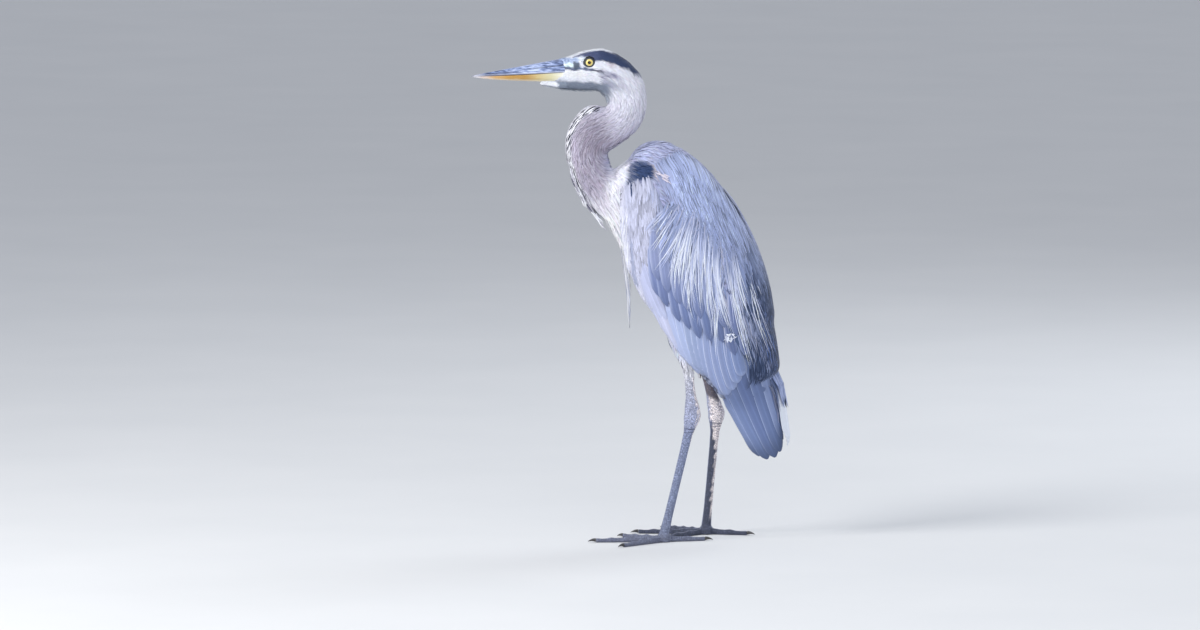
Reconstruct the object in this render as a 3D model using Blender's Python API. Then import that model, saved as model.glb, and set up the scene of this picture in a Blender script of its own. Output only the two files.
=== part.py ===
# Great blue heron, life size, standing with its neck drawn into an S.
# Faces -Y, its left side is +X, the toes rest on z = 0.
import math

import bmesh
import bpy
from mathutils import Vector

for old in list(bpy.data.objects):
    bpy.data.objects.remove(old, do_unlink=True)

MM = 0.001
GAP = 0.3                     # clearance between neighbouring parts, mm
RING = 20                     # points round a body section

# ---------------------------------------------------------------- sizes, mm
BODY_LEAN = math.radians(64.3)      # slope of the body axis below level
BODY_HEAD_END = (-4.0, 584.0)       # y, z where the body axis starts
THROAT_PIVOT = (-40.3, 688.8)       # hollow of the neck under the chin
NAPE_PIVOT = (-34.0, 611.0)         # hollow of the neck over the back
PIVOT_RADIUS = 3.0
NECK_BACK_RADIUS = 65.0
EYE_CENTRE = (-66.5, 756.6)
EYE_RADIUS = 8.5
EYE_OUT = 13.4                      # centre of the eyeball from the mid plane
BILL_BASE_Y = -103.5
BILL_LENGTH = 149.3
BILL_GAPE_Z = 740.5
BILL_TIP_Z = 733.0
BILL_HALF_WIDTH = 12.5
SCAPULAR_DEPTH = 2.2
WING_DEPTH = 6.9
TIBIA_TOP_Z = 333.0
FEATHER_END_Z = 265.0
TARSUS_FOOT_Z = 13.0
PAD_RADIUS = 11.0
TOE_START = 11.6
FOOT_SPREAD = 48.0                  # feet from the mid plane
MIDDLE_TOE, OUTER_TOE, INNER_TOE, HALLUX = 96.0, 80.0, 72.0, 54.0

parts = bpy.data.collections.new("great_blue_heron")
cutters = bpy.data.collections.new("cutters")
for group in (parts, cutters):
    bpy.context.scene.collection.children.link(group)


def material(name, colour, roughness):
    mat = bpy.data.materials.new(name)
    mat.use_nodes = True
    shader = mat.node_tree.nodes["Principled BSDF"]
    shader.inputs["Base Color"].default_value = (*colour, 1.0)
    shader.inputs["Roughness"].default_value = roughness
    return mat


WHITE_DOWN = material("white_down", (0.78, 0.78, 0.80), 0.9)
NECK_DOWN = material("neck_down", (0.46, 0.41, 0.45), 0.9)
BLUE_GREY = material("blue_grey_feather", (0.24, 0.29, 0.39), 0.8)
SILVER = material("silver_plume", (0.50, 0.54, 0.62), 0.8)
SLATE = material("slate_feather", (0.10, 0.13, 0.20), 0.75)
BILL_DARK = material("bill_upper_horn", (0.10, 0.12, 0.17), 0.4)
BILL_YELLOW = material("bill_lower_horn", (0.52, 0.33, 0.12), 0.4)
EYE = material("eye", (0.75, 0.55, 0.06), 0.1)
LEG_SKIN = material("leg_scales", (0.25, 0.25, 0.29), 0.6)
CLAW_HORN = material("claw_horn", (0.06, 0.055, 0.05), 0.45)


# ---------------------------------------------------------------- helpers
def lerp_table(table, key):
    """Smoothly reads a row of values at a station from (station, values...) rows."""
    if key <= table[0][0]:
        return table[0][1:]
    for low, high in zip(table, table[1:]):
        if key <= high[0]:
            u = (key - low[0]) / (high[0] - low[0])
            return tuple(a + (b - a) * u for a, b in zip(low[1:], high[1:]))
    return table[-1][1:]


def smooth(edge0, edge1, value):
    u = min(1.0, max(0.0, (value - edge0) / (edge1 - edge0)))
    return u * u * (3.0 - 2.0 * u)


def body(s, t, x=0.0):
    """s runs down the body axis, t out through the back, x to the left side."""
    y = BODY_HEAD_END[0] + s * math.cos(BODY_LEAN) + t * math.sin(BODY_LEAN)
    z = BODY_HEAD_END[1] - s * math.sin(BODY_LEAN) + t * math.cos(BODY_LEAN)
    return Vector((x, y, z))


def polar(pivot, angle, radius):
    a = math.radians(angle)
    return (pivot[0] + radius * math.cos(a), pivot[1] + radius * math.sin(a))


def ring(front, back, half_width, front_p=0.95, back_p=0.95, skew=0.0, count=RING):
    """Closed section in the mid plane's normal: front and back are (y, z) points."""
    f, b = Vector((0.0, *front)), Vector((0.0, *back))
    centre, half = (f + b) / 2, (b - f) / 2
    points = []
    for k in range(count):
        a = 2 * math.pi * k / count
        power = front_p if math.cos(a) > 0 else back_p
        x = half_width * abs(math.sin(a)) ** power * (1 - skew * max(0.0, math.cos(a)))
        points.append(centre - half * math.cos(a) + Vector((math.copysign(x, math.sin(a)), 0, 0)))
    return points


def ring_normal(points):
    a, b, c = points[0], points[len(points) // 2], points[len(points) // 4]
    return (b - a).cross(c - a).normalized()


def moved(points, direction, distance):
    return [p + direction * distance for p in points]


def finish(name, bm, mat, flat=False):
    bmesh.ops.remove_doubles(bm, verts=bm.verts, dist=1e-6)
    bmesh.ops.recalc_face_normals(bm, faces=bm.faces)
    mesh = bpy.data.meshes.new(name)
    bm.to_mesh(mesh)
    bm.free()
    mesh.materials.append(mat)
    for polygon in mesh.polygons:
        polygon.use_smooth = not flat
    obj = bpy.data.objects.new(name, mesh)
    parts.objects.link(obj)
    return obj


def loft(name, rings, mat):
    """Closed solid through a row of sections, capped round their centres."""
    bm = bmesh.new()
    rows = [[bm.verts.new(p * MM) for p in points] for points in rings]
    count = len(rows[0])
    for low, high in zip(rows, rows[1:]):
        for k in range(count):
            n = (k + 1) % count
            bm.faces.new((low[k], low[n], high[n]))
            bm.faces.new((low[k], high[n], high[k]))
    for points, row in ((rings[0], rows[0]), (rings[-1], rows[-1])):
        hub = bm.verts.new(sum(points, Vector()) / count * MM)
        for k in range(count):
            bm.faces.new((row[k], row[(k + 1) % count], hub))
    return finish(name, bm, mat)


def shell(name, outer, inner, mat):
    """Closed solid between two matching grids of points."""
    bm = bmesh.new()
    tops = [[bm.verts.new(p * MM) for p in row] for row in outer]
    lows = [[bm.verts.new(p * MM) for p in row] for row in inner]
    rows, cols = len(tops), len(tops[0])
    for grid in (tops, lows):
        for i in range(rows - 1):
            for j in range(cols - 1):
                a, b, c, d = grid[i][j], grid[i][j + 1], grid[i + 1][j + 1], grid[i + 1][j]
                bm.faces.new((a, b, c))
                bm.faces.new((a, c, d))
    border = [(0, j) for j in range(cols)] + [(i, cols - 1) for i in range(1, rows)]
    border += [(rows - 1, j) for j in range(cols - 2, -1, -1)]
    border += [(i, 0) for i in range(rows - 2, 0, -1)]
    for (i, j), (m, n) in zip(border, border[1:] + border[:1]):
        bm.faces.new((tops[i][j], tops[m][n], lows[m][n]))
        bm.faces.new((tops[i][j], lows[m][n], lows[i][j]))
    return finish(name, bm, mat)


def cut(obj, cutter):
    parts.objects.unlink(cutter)
    cutters.objects.link(cutter)
    cutter.hide_render = True
    cutter.display_type = "WIRE"
    hole = obj.modifiers.new(cutter.name, "BOOLEAN")
    hole.operation = "DIFFERENCE"
    hole.solver = "EXACT"
    hole.object = cutter


# ---------------------------------------------------------------- head
neck_start = ring(polar(THROAT_PIVOT, 42, PIVOT_RADIUS), polar(THROAT_PIVOT, 42, 74), 19.5)
head_joint = ring_normal(neck_start)
head_rows = [
    # under y, under z, top y, top z, half width
    (-103.5, 713.3, -103.5, 763.0, 14.5),
    (-95.5, 712.4, -94.5, 767.6, 17.0),
    (-86.5, 711.4, -82.0, 772.6, 19.3),
    (-76.5, 710.6, -65.6, 776.5, 21.0),
    (-65.5, 710.6, -45.0, 778.5, 22.3),
    (-54.5, 710.0, -26.1, 771.5, 22.5),
    (-45.0, 703.5, -4.0, 757.2, 21.2),
]
head_rings = [ring((a, b), (c, d), w, 0.9, 0.8) for a, b, c, d, w in head_rows]
head = loft("head", head_rings + [moved(neck_start, head_joint, -GAP / 2)], WHITE_DOWN)

for side, sign in (("left", 1), ("right", -1)):
    for name, radius in (("eye_" + side, EYE_RADIUS), ("socket_" + side, EYE_RADIUS + GAP)):
        bm = bmesh.new()
        bmesh.ops.create_uvsphere(bm, u_segments=14, v_segments=8, radius=radius * MM)
        bmesh.ops.rotate(bm, verts=bm.verts, cent=(0, 0, 0),
                         matrix=Vector((0, 0, 1)).rotation_difference(
                             Vector((sign, -0.12, 0.03))).to_matrix())
        place = Vector((sign * EYE_OUT, *EYE_CENTRE)) * MM
        bmesh.ops.translate(bm, verts=bm.verts, vec=place)
        ball = finish(name, bm, EYE)
        if name.startswith("socket"):
            cut(head, ball)


# ---------------------------------------------------------------- bill and chin
def half_section(y, flat_z, ridge_z, half_width, roundness, count=9):
    """Flat along the gape, arched to the ridge of the culmen or the keel."""
    points = []
    for k in range(count):
        a = math.pi * k / (count - 1)
        rise = math.sin(a) ** roundness
        points.append(Vector((half_width * math.cos(a), y, flat_z + (ridge_z - flat_z) * rise)))
    return points


def gape(u):
    return BILL_GAPE_Z + (BILL_TIP_Z - BILL_GAPE_Z) * (0.62 * math.sin(math.pi * u / 2) + 0.38 * u)


def culmen(u):
    return 763.0 + (BILL_TIP_Z + 0.6 - 763.0) * (0.93 * u + 0.07 * u ** 5) - 0.6 * math.sin(math.pi * u)


def keel(u):
    return 722.6 + 3.4 * u + (BILL_TIP_Z - 0.6 - 726.0) * u ** 5 + 1.6 * math.sin(math.pi * u)


BILL_STEPS = 12
upper_rings, lower_rings = [], []
for i in range(BILL_STEPS + 1):
    u = i / BILL_STEPS
    y = BILL_BASE_Y - GAP - (BILL_LENGTH - GAP) * u
    width = BILL_HALF_WIDTH * (1 - u) ** 0.86 + 0.9
    upper_rings.append(half_section(y, gape(u) + GAP / 2, culmen(u), width, 0.8))
    lower_rings.append(half_section(y + 1.5 * u, gape(u) - GAP / 2, keel(u), width * 0.94, 0.7))
loft("bill_upper", upper_rings, BILL_DARK)
loft("bill_lower", lower_rings, BILL_YELLOW)

CHIN_LENGTH = 56.0
chin_rings = []
for i in range(7):
    u = i / 6
    y = BILL_BASE_Y - GAP - CHIN_LENGTH * u
    top = keel((CHIN_LENGTH * u) / BILL_LENGTH) - GAP
    low = 713.5 + 8.0 * u ** 1.3
    chin_rings.append(ring((y, min(low, top - 0.8)), (y, top), 11.0 * (1 - u) + 1.5, 0.8, 0.25, count=10))
loft("chin", chin_rings, WHITE_DOWN)

# ---------------------------------------------------------------- neck
# Sections fan round the throat hollow, then round the nape hollow.
shared_angle = math.degrees(math.atan2(NAPE_PIVOT[1] - THROAT_PIVOT[1],
                                       NAPE_PIVOT[0] - THROAT_PIVOT[0]))
pivot_distance = math.dist(THROAT_PIVOT, NAPE_PIVOT)
UPPER_BACK = [(-86.0, pivot_distance - PIVOT_RADIUS), (-78.0, 70.0), (-62.0, NECK_BACK_RADIUS),
              (-3.0, NECK_BACK_RADIUS), (18.0, 67.5), (42.0, 74.0)]
LOWER_FRONT = [(94.0, pivot_distance - PIVOT_RADIUS), (104.0, 81.0), (111.0, 85.5), (119.0, 85.0),
               (131.0, 81.7), (143.0, 78.7), (156.0, 74.3), (171.0, 69.8), (188.0, 68.3)]
NECK_WIDTH = [(-86.0, 20.5), (-60.0, 20.0), (-20.0, 19.0), (42.0, 19.5)]


def throat_section(angle):
    return ring(polar(THROAT_PIVOT, angle, PIVOT_RADIUS),
                polar(THROAT_PIVOT, angle, lerp_table(UPPER_BACK, angle)[0]),
                lerp_table(NECK_WIDTH, angle)[0])


def nape_section(angle):
    return ring(polar(NAPE_PIVOT, angle, lerp_table(LOWER_FRONT, angle)[0]),
                polar(NAPE_PIVOT, angle, PIVOT_RADIUS), 20.5 + 2.0 * smooth(100, 190, angle))


def fan(section, start, end, steps):
    return [section(start + (end - start) * k / steps) for k in range(steps + 1)]


upper = fan(throat_section, 42, -30, 5)
bend_top = fan(throat_section, -30, shared_angle, 4)
bend_low = fan(nape_section, shared_angle + 180, 146, 5)
lower = fan(nape_section, 146, 190, 3)
upper[0] = moved(upper[0], head_joint, GAP / 2)
mid_joint = ring_normal(upper[-1])
upper[-1] = moved(upper[-1], mid_joint, -GAP / 2)
bend_top[0] = moved(bend_top[0], mid_joint, GAP / 2)
low_joint = ring_normal(lower[0])
bend_low[-1] = moved(bend_low[-1], low_joint, -GAP / 2)
lower[0] = moved(lower[0], low_joint, GAP / 2)
loft("neck_upper", upper, NECK_DOWN)
loft("neck_bend", bend_top + bend_low[1:], NECK_DOWN)

# ---------------------------------------------------------------- body outline
# Rows down the body axis: breast edge, back edge, half width.
OUTLINE = [
    (-2, -88.2, 87.0, 53), (25, -83.5, 102.9, 65), (55, -73.5, 115.0, 72), (85, -71.5, 122.0, 75),
    (115, -72.0, 127.2, 76), (150, -78.0, 130.0, 75.5), (190, -80.0, 129.8, 74), (230, -78.0, 125.6, 71.5),
    (265, -76.0, 119.0, 68), (300, -72.0, 108.5, 63), (340, -62.0, 96.6, 55), (391, -44.0, 78.0, 39)]
# Rows down the body axis: belly edge, back edge, half width, front narrowing.
TRUNK = [
    (0.15, -87.7, 82.6, 46, 0.34), (12, -86.0, 88.6, 51, 0.30), (25, -82.5, 94.8, 56, 0.26),
    (55, -70.5, 107.2, 64, 0.18), (85, -67.0, 114.6, 67, 0.12), (115, -67.0, 119.6, 68, 0.08),
    (150, -71.0, 122.4, 67.5, 0.05), (190, -66.0, 122.2, 64, 0.0), (230, -51.0, 117.8, 57, 0.0),
    (265, -35.0, 111.0, 49, 0.0), (295, -17.0, 102.5, 40, 0.0), (320, 5.0, 94.4, 30, 0.0),
    (338, 28.0, 88.0, 22, 0.0), (350, 50.0, 82.5, 16, 0.0)]
WING_EDGE = [(-2, 6.0), (35, -18.6), (92, -49.0), (135, -66.0), (160, -74.0), (180, -74.5), (195, -70.5), (227, -63.9),
             (252, -61.4), (294, -53.7), (322, -45.1), (352, -37.5), (391, -26.0)]
SCAPULAR_EDGE = [(3, 66.0), (40, 60.0), (100, 54.0), (190, 52.0), (250, 64.0), (290, 84.0), (312, 99.0)]
FRONT_POWER = [(0, 0.9), (100, 0.8), (190, 0.45), (300, 0.2), (391, 0.3)]
BACK_POWER = 0.82


def trunk_section(s, grow=0.0):
    front, back, width, narrowing = lerp_table(TRUNK, s)
    f, b = body(s, front - grow), body(s, back + grow)
    return ring((f.y, f.z), (b.y, b.z), width - 0.6 + grow, 0.92, BACK_POWER, narrowing)


def outline_point(s, angle, sink, sign):
    """Point on the feathered outline at an angle from the breast, sunk by some mm."""
    front, back, width = lerp_table(OUTLINE, s)
    power = lerp_table(FRONT_POWER, s)[0] if angle < math.pi / 2 else BACK_POWER
    centre, half = (front + back) / 2, (back - front) / 2
    t = centre - (half - sink) * math.cos(angle)
    return body(s, t, sign * (width - sink) * math.sin(angle) ** power)


def outline_angle(s, t):
    front, back = lerp_table(OUTLINE, s)[:2]
    centre, half = (front + back) / 2, (back - front) / 2
    return math.acos(max(-0.9999, min(0.9999, (centre - t) / half)))


trunk = loft("trunk", [trunk_section(row[0]) for row in TRUNK], BLUE_GREY)


# ---------------------------------------------------------------- lower neck and shoulders
SHOULDER_ROOT = (-87.7, 87.0, 47.0, 0.34)      # breast edge, back edge, half width, narrowing


def root_half_width(t):
    front, back, width, narrowing = SHOULDER_ROOT
    c = max(-1.0, min(1.0, ((front + back) / 2 - t) / ((back - front) / 2)))
    return width * math.sqrt(1 - c * c) ** (0.92 if c > 0 else BACK_POWER) * (1 - narrowing * max(0.0, c))


def topped_section(s, t0, t1, spread, pinch):
    """Section above the trunk's flat top, as wide as the trunk below it times spread."""
    points = []
    for k in range(RING):
        a = 2 * math.pi * k / RING
        t = (t0 + t1) / 2 - (t1 - t0) / 2 * math.cos(a)
        x = root_half_width(t) * spread * abs(math.sin(a)) ** pinch
        points.append(body(s, t, math.copysign(x, math.sin(a))))
    return points


NECK_ROOT_T = (-87.7, -22.6)
neck_rows = [(-94.6, 582.4, -33.2, 598.5, 22.5), (-89.3, 563.5, -29.4, 586.5, 24.0)]
lower += [ring((a, b), (c, d), w) for a, b, c, d, w in neck_rows]
lower.append(topped_section(-0.15, *NECK_ROOT_T, 1.0, 0.4))
loft("neck_lower", lower, NECK_DOWN)

SHOULDER = [  # height over the trunk, front t, back t, spread, pinch
    (0.15, -22.2, 87.0, 1.0, 0.35), (6, -22.2, 83.5, 0.93, 0.40), (13, -18.0, 78.0, 0.84, 0.50),
    (16.5, 5.0, 75.0, 0.80, 0.55), (22, 14.0, 65.0, 0.66, 0.60), (26.5, 23.0, 55.0, 0.48, 0.65),
    (29, 31.0, 45.0, 0.22, 0.80)]
loft("shoulders", [topped_section(-h, t0, t1, w, p) for h, t0, t1, w, p in SHOULDER], BLUE_GREY)


# ---------------------------------------------------------------- wings and scapulars
def wing_thickness(s, angle, u):
    """Full in the open, thin under the scapulars and along both edges."""
    cover = outline_angle(s, lerp_table(SCAPULAR_EDGE, s)[0]) if s < 312 else math.pi
    open_part = 1 - smooth(cover - 0.24, cover - 0.08, angle)
    depth = 2.6 + 2.8 * open_part
    edge = smooth(-0.02, 0.16, u) * (1 - 0.5 * smooth(0.9, 1.0, u))
    return depth * (0.22 + 0.78 * edge)


def wing_grids(stations, cols, sign, top_angle, taper):
    outer, inner = [], []
    for s in stations:
        low = outline_angle(s, lerp_table(WING_EDGE, s)[0])
        sink = WING_DEPTH - taper * smooth(318, 391, s)
        outer.append([])
        inner.append([])
        for j in range(cols + 1):
            u = j / cols
            angle = low + (top_angle - low) * u
            thick = wing_thickness(s, angle, u) * (sink / WING_DEPTH)
            outer[-1].append(outline_point(s, angle, sink - thick, sign))
            inner[-1].append(outline_point(s, angle, sink, sign))
    return outer, inner


PRIMARY = [  # s, front t, back t, half width, thickness
    (338, -22, 70, 36.5, 2.6), (362, -24, 64, 32.0, 2.8), (391, -24.6, 60, 26.5, 3.0),
    (420, -21.5, 55, 23.5, 2.8), (450, -21.0, 48, 20.5, 2.4), (480, -19.0, 37, 17.5, 2.0),
    (496, -13.5, 30, 15.5, 1.6), (505, -5.0, 22, 14.0, 1.3), (510, 4.0, 15, 13.2, 1.0)]

COVERT_END, SECONDARY_END, WING_ROWS, WING_COLS = 212.0, 391.0, 9, 8
COVERT_STATIONS = [1.0 + (COVERT_END - 1.0) * i / WING_ROWS for i in range(WING_ROWS + 1)]
SECONDARY_START = COVERT_END + GAP
SECONDARY_STATIONS = [SECONDARY_START + (SECONDARY_END - SECONDARY_START) * i / WING_ROWS
                      for i in range(WING_ROWS + 1)]
for side, sign in (("left", 1), ("right", -1)):
    shell("wing_coverts_" + side,
          *wing_grids(COVERT_STATIONS, WING_COLS, sign, math.radians(158), 0.0), BLUE_GREY)
    shell("wing_secondaries_" + side,
          *wing_grids(SECONDARY_STATIONS, WING_COLS, sign, math.radians(171), 3.3), BLUE_GREY)
    outer, inner = [], []
    for s, front, back, width, thick in PRIMARY:
        outer.append([])
        inner.append([])
        for j in range(7):
            u = j / 6
            bow = width * (1 - 0.30 * (1 - u) ** 2 - 0.30 * u ** 2)
            edge = thick * (0.35 + 0.65 * math.sin(math.pi * u) ** 0.5)
            outer[-1].append(body(s, front + (back - front) * u, sign * bow))
            inner[-1].append(body(s, front + (back - front) * u, sign * (bow - edge)))
    shell("wing_primaries_" + side, outer, inner, SLATE)

outer, inner = [], []
SCAPULAR_COLS, SCAPULAR_TIP_ROW = 12, 6
for s in COVERT_STATIONS + SECONDARY_STATIONS[1:SCAPULAR_TIP_ROW]:
    reach = math.pi - outline_angle(s, lerp_table(SCAPULAR_EDGE, s)[0])
    outer.append([])
    inner.append([])
    for j in range(SCAPULAR_COLS + 1):
        u = 2 * j / SCAPULAR_COLS - 1
        away = reach * abs(u)
        spine = 1 - smooth(math.radians(10), math.radians(20), away)
        sink = SCAPULAR_DEPTH + 3.7 * spine * smooth(0, 30, s) * (1 - smooth(170, 205, s))
        lift = sink - 1.2 * smooth(0.82, 1.0, abs(u)) - 0.8 * smooth(270, 310, s)
        outer[-1].append(outline_point(s, math.pi - away, sink - lift, math.copysign(1, u)))
        inner[-1].append(outline_point(s, math.pi - away, sink, math.copysign(1, u)))
shell("scapulars", outer, inner, SILVER)

# ---------------------------------------------------------------- tail
TAIL = [  # s, top t, half width, thickness
    (350.3, 81.0, 14, 9.0), (370, 76.5, 16, 6.0), (391, 73.0, 19, 4.5), (412, 71.8, 25, 4.0),
    (448, 61.7, 28, 3.4), (472, 53.6, 29, 2.8), (488, 49.4, 28, 2.2), (498, 44.0, 23, 1.8), (504, 39.0, 14, 1.4)]
outer, inner = [], []
for s, top, width, thick in TAIL:
    roof = 12.0 * smooth(350, 420, s)
    outer.append([])
    inner.append([])
    for j in range(9):
        u = j / 4 - 1
        outer[-1].append(body(s, top - roof * u * u, width * u))
        inner[-1].append(body(s, top - roof * u * u - thick * (1 - 0.6 * abs(u) ** 3), width * u))
shell("tail", outer, inner, SLATE)

# ---------------------------------------------------------------- breast plumes
PLUME_TOP_Z, PLUME_TIP_Z = 492.0, 333.0
plume_rings = []
for i in range(9):
    u = i / 8
    z = PLUME_TOP_Z + (PLUME_TIP_Z - PLUME_TOP_Z) * u
    front = -41.5 + 35.0 * smooth(-0.45, 0.75, u)
    depth = 5.0 * (1 - u) ** 0.8 + 1.0
    plume_rings.append(ring((front, z), (front + depth, z), 14.0 * (1 - u) ** 0.7 + 1.2, 0.8, 0.4, count=10))
plumes = loft("breast_plumes", plume_rings, WHITE_DOWN)
cut(plumes, loft("plume_bed", [trunk_section(row[0] + (0 if i else -2), GAP) for i, row in enumerate(TRUNK)],
                 WHITE_DOWN))


# ---------------------------------------------------------------- legs
def tube_ring(centre, direction, depth, width, count=12):
    """Oval section square to a direction; depth lies fore and aft, width side to side."""
    axis = Vector(direction).normalized()
    side = (Vector((1, 0, 0)) - axis * axis.x).normalized()
    fore = axis.cross(side)
    return [Vector(centre) + fore * depth * math.cos(a) + side * width * math.sin(a)
            for a in (2 * math.pi * k / count for k in range(count))]


def along(a, b, u):
    return Vector(a).lerp(Vector(b), u)


def toe_section(centre, heading, half_width, height, count=8):
    """Rounded top and a flat sole at floor level."""
    side = Vector((-heading.y, heading.x, 0))
    points = []
    for k in range(count):
        a = 2 * math.pi * k / count
        z = height * (0.42 + 0.58 * math.sin(a))
        points.append(Vector((centre.x, centre.y, max(0.0, z))) + side * half_width * math.cos(a))
    return points


def toe(name, root, angle, length, half_width, joints, sign):
    """A scaled toe lying on the floor, swollen at its joints, with a curved claw."""
    a = math.radians(angle)
    heading = Vector((math.sin(a) * sign, -math.cos(a), 0))
    rings = []
    steps = joints * 3
    for i in range(steps + 1):
        u = i / steps
        swell = 1 + 0.13 * math.cos(2 * math.pi * joints * u) * (0.35 if u < 0.05 else 1)
        size = (1 - 0.36 * u) * swell
        narrow = 0.80 + 0.20 * smooth(0.0, 0.12, u)
        rings.append(toe_section(root + heading * (TOE_START + length * u), heading,
                                 half_width * size * narrow, 9.6 * size))
    loft(name, rings, LEG_SKIN)
    claw_rings = []
    claw_length = 13.0
    for i in range(5):
        u = i / 4
        centre = root + heading * (TOE_START + length + GAP + claw_length * u)
        size = 2.7 * (1 - u) ** 0.75 + 0.35
        centre.z = 3.6 + 1.5 * math.sin(math.pi * u * 0.8) - 2.8 * u ** 1.5
        side = Vector((-heading.y, heading.x, 0))
        claw_rings.append([centre + side * size * 0.75 * math.cos(b) + Vector((0, 0, size * math.sin(b)))
                           for b in (2 * math.pi * k / 8 for k in range(8))])
    loft(name.replace("toe", "claw").replace("hallux", "hallux_claw"), claw_rings, CLAW_HORN)


# per side: hip, feather end, hock, foot: x, y, z
LEGS = {
    "left": ((32, 76, TIBIA_TOP_Z), (41, 90, FEATHER_END_Z), (46, 96.5, 202), (FOOT_SPREAD, 51.5, TARSUS_FOOT_Z)),
    "right": ((-31, 88, TIBIA_TOP_Z), (-32, 116, FEATHER_END_Z), (-35, 135, 196), (-FOOT_SPREAD, 119, TARSUS_FOOT_Z))}
for side, (hip, knee, hock, foot) in LEGS.items():
    sign = 1 if side == "left" else -1
    thigh_line = Vector(knee) - Vector(hip)
    shank_line = Vector(hock) - Vector(knee)
    tarsus_line = Vector(foot) - Vector(hock)
    hock_plane = (shank_line.normalized() + tarsus_line.normalized()).normalized()
    knee_plane = (thigh_line.normalized() + shank_line.normalized()).normalized()
    rings = []
    for u, depth, width in ((0, 26, 12), (0.2, 24, 12), (0.4, 19, 11), (0.6, 14, 10),
                            (0.8, 10.5, 8.8), (1, 8.2, 7.4)):
        direction = knee_plane if u == 1 else thigh_line
        rings.append(tube_ring(along(hip, knee, u), direction, depth, width))
    rings[-1] = moved(rings[-1], knee_plane, -GAP / 2)
    thigh = loft("thigh_" + side, rings, WHITE_DOWN)
    cut(thigh, loft("thigh_bed_" + side, [trunk_section(row[0], GAP) for row in TRUNK], WHITE_DOWN))
    rings = []
    for u, depth, width in ((0, 7.7, 6.9), (0.25, 7.2, 6.2), (0.55, 8.2, 6.8), (0.8, 11.5, 8.6), (1, 13.2, 9.8)):
        direction = knee_plane if u == 0 else hock_plane if u == 1 else shank_line
        rings.append(tube_ring(along(knee, hock, u), direction, depth, width))
    rings[0] = moved(rings[0], knee_plane, GAP / 2)
    rings[-1] = moved(rings[-1], hock_plane, -GAP / 2)
    loft("shank_" + side, rings, LEG_SKIN)
    rings = []
    for u, depth, width in ((0, 13.2, 9.8), (0.045, 12.6, 9.2), (0.10, 9.6, 7.2), (0.16, 7.4, 5.6), (0.3, 6.6, 4.9),
                            (0.6, 6.4, 4.8), (0.85, 6.6, 5.2), (0.95, 7.4, 6.4), (1, 8.0, 7.4)):
        direction = hock_plane if u == 0 else (0, 0, -1) if u == 1 else tarsus_line
        rings.append(tube_ring(along(hock, foot, u), direction, depth, width))
    rings[0] = moved(rings[0], hock_plane, GAP / 2)
    rings[-1] = moved(rings[-1], Vector((0, 0, 1)), GAP)
    loft("tarsus_" + side, rings, LEG_SKIN)
    pad_centre = Vector((foot[0], foot[1], 0))
    pad = [tube_ring(pad_centre + Vector((0, 0, z)), (0, 0, -1), r, r, 12)
           for z, r in ((0, 9.6), (1.2, 10.8), (3, PAD_RADIUS), (8, PAD_RADIUS), (11, 10.2), (13, 8.4))]
    loft("foot_pad_" + side, pad, LEG_SKIN)
    toe("middle_toe_" + side, pad_centre, 4, MIDDLE_TOE, 4.3, 4, sign)
    toe("outer_toe_" + side, pad_centre, 46, OUTER_TOE, 4.2, 4, sign)
    toe("inner_toe_" + side, pad_centre, -40, INNER_TOE, 4.2, 3, sign)
    toe("hallux_" + side, pad_centre, -168, HALLUX, 4.2, 2, sign)
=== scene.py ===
import math

import bmesh
import bpy
import numpy as np
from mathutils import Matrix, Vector
from mathutils.bvhtree import BVHTree


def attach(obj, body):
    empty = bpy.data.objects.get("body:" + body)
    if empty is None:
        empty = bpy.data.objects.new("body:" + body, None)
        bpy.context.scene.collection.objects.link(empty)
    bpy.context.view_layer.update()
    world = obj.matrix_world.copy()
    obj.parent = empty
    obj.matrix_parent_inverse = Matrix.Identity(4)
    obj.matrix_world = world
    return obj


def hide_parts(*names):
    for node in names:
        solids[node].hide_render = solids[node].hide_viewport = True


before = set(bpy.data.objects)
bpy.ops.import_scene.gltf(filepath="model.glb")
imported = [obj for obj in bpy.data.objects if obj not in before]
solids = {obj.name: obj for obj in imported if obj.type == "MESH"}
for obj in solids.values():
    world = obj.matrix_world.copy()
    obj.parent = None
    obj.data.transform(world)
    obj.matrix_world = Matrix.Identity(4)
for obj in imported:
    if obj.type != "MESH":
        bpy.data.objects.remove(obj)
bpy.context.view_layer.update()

# The room: a wide pale floor, a large soft lamp ahead of the bird's breast, a broad fill on the viewer's
# side and a weak lamp behind its back. The camera is low and far off, square to the bird's left side.
scene = bpy.context.scene
scene.view_settings.view_transform = "Standard"


class Tint:
    """A number or a colour on its way through a finish. Arithmetic on it adds the Math nodes."""

    def __init__(self, finish, socket):
        self.finish, self.socket = finish, socket

    def beside(self, output):
        return Tint(self.finish, self.socket.node.outputs[output])

    def __add__(self, other):
        return self.finish.math("ADD", self, other)

    __radd__ = __add__

    def __sub__(self, other):
        return self.finish.math("SUBTRACT", self, other)

    def __rsub__(self, other):
        return self.finish.math("SUBTRACT", other, self)

    def __mul__(self, other):
        return self.finish.math("MULTIPLY", self, other)

    __rmul__ = __mul__

    def __truediv__(self, other):
        return self.finish.math("DIVIDE", self, other)

    def __abs__(self):
        return self.finish.math("ABSOLUTE", self)

    def held(self):
        """The same number kept between 0 and 1."""
        return self.finish.node("ShaderNodeClamp", None, {"Value": self})


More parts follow.
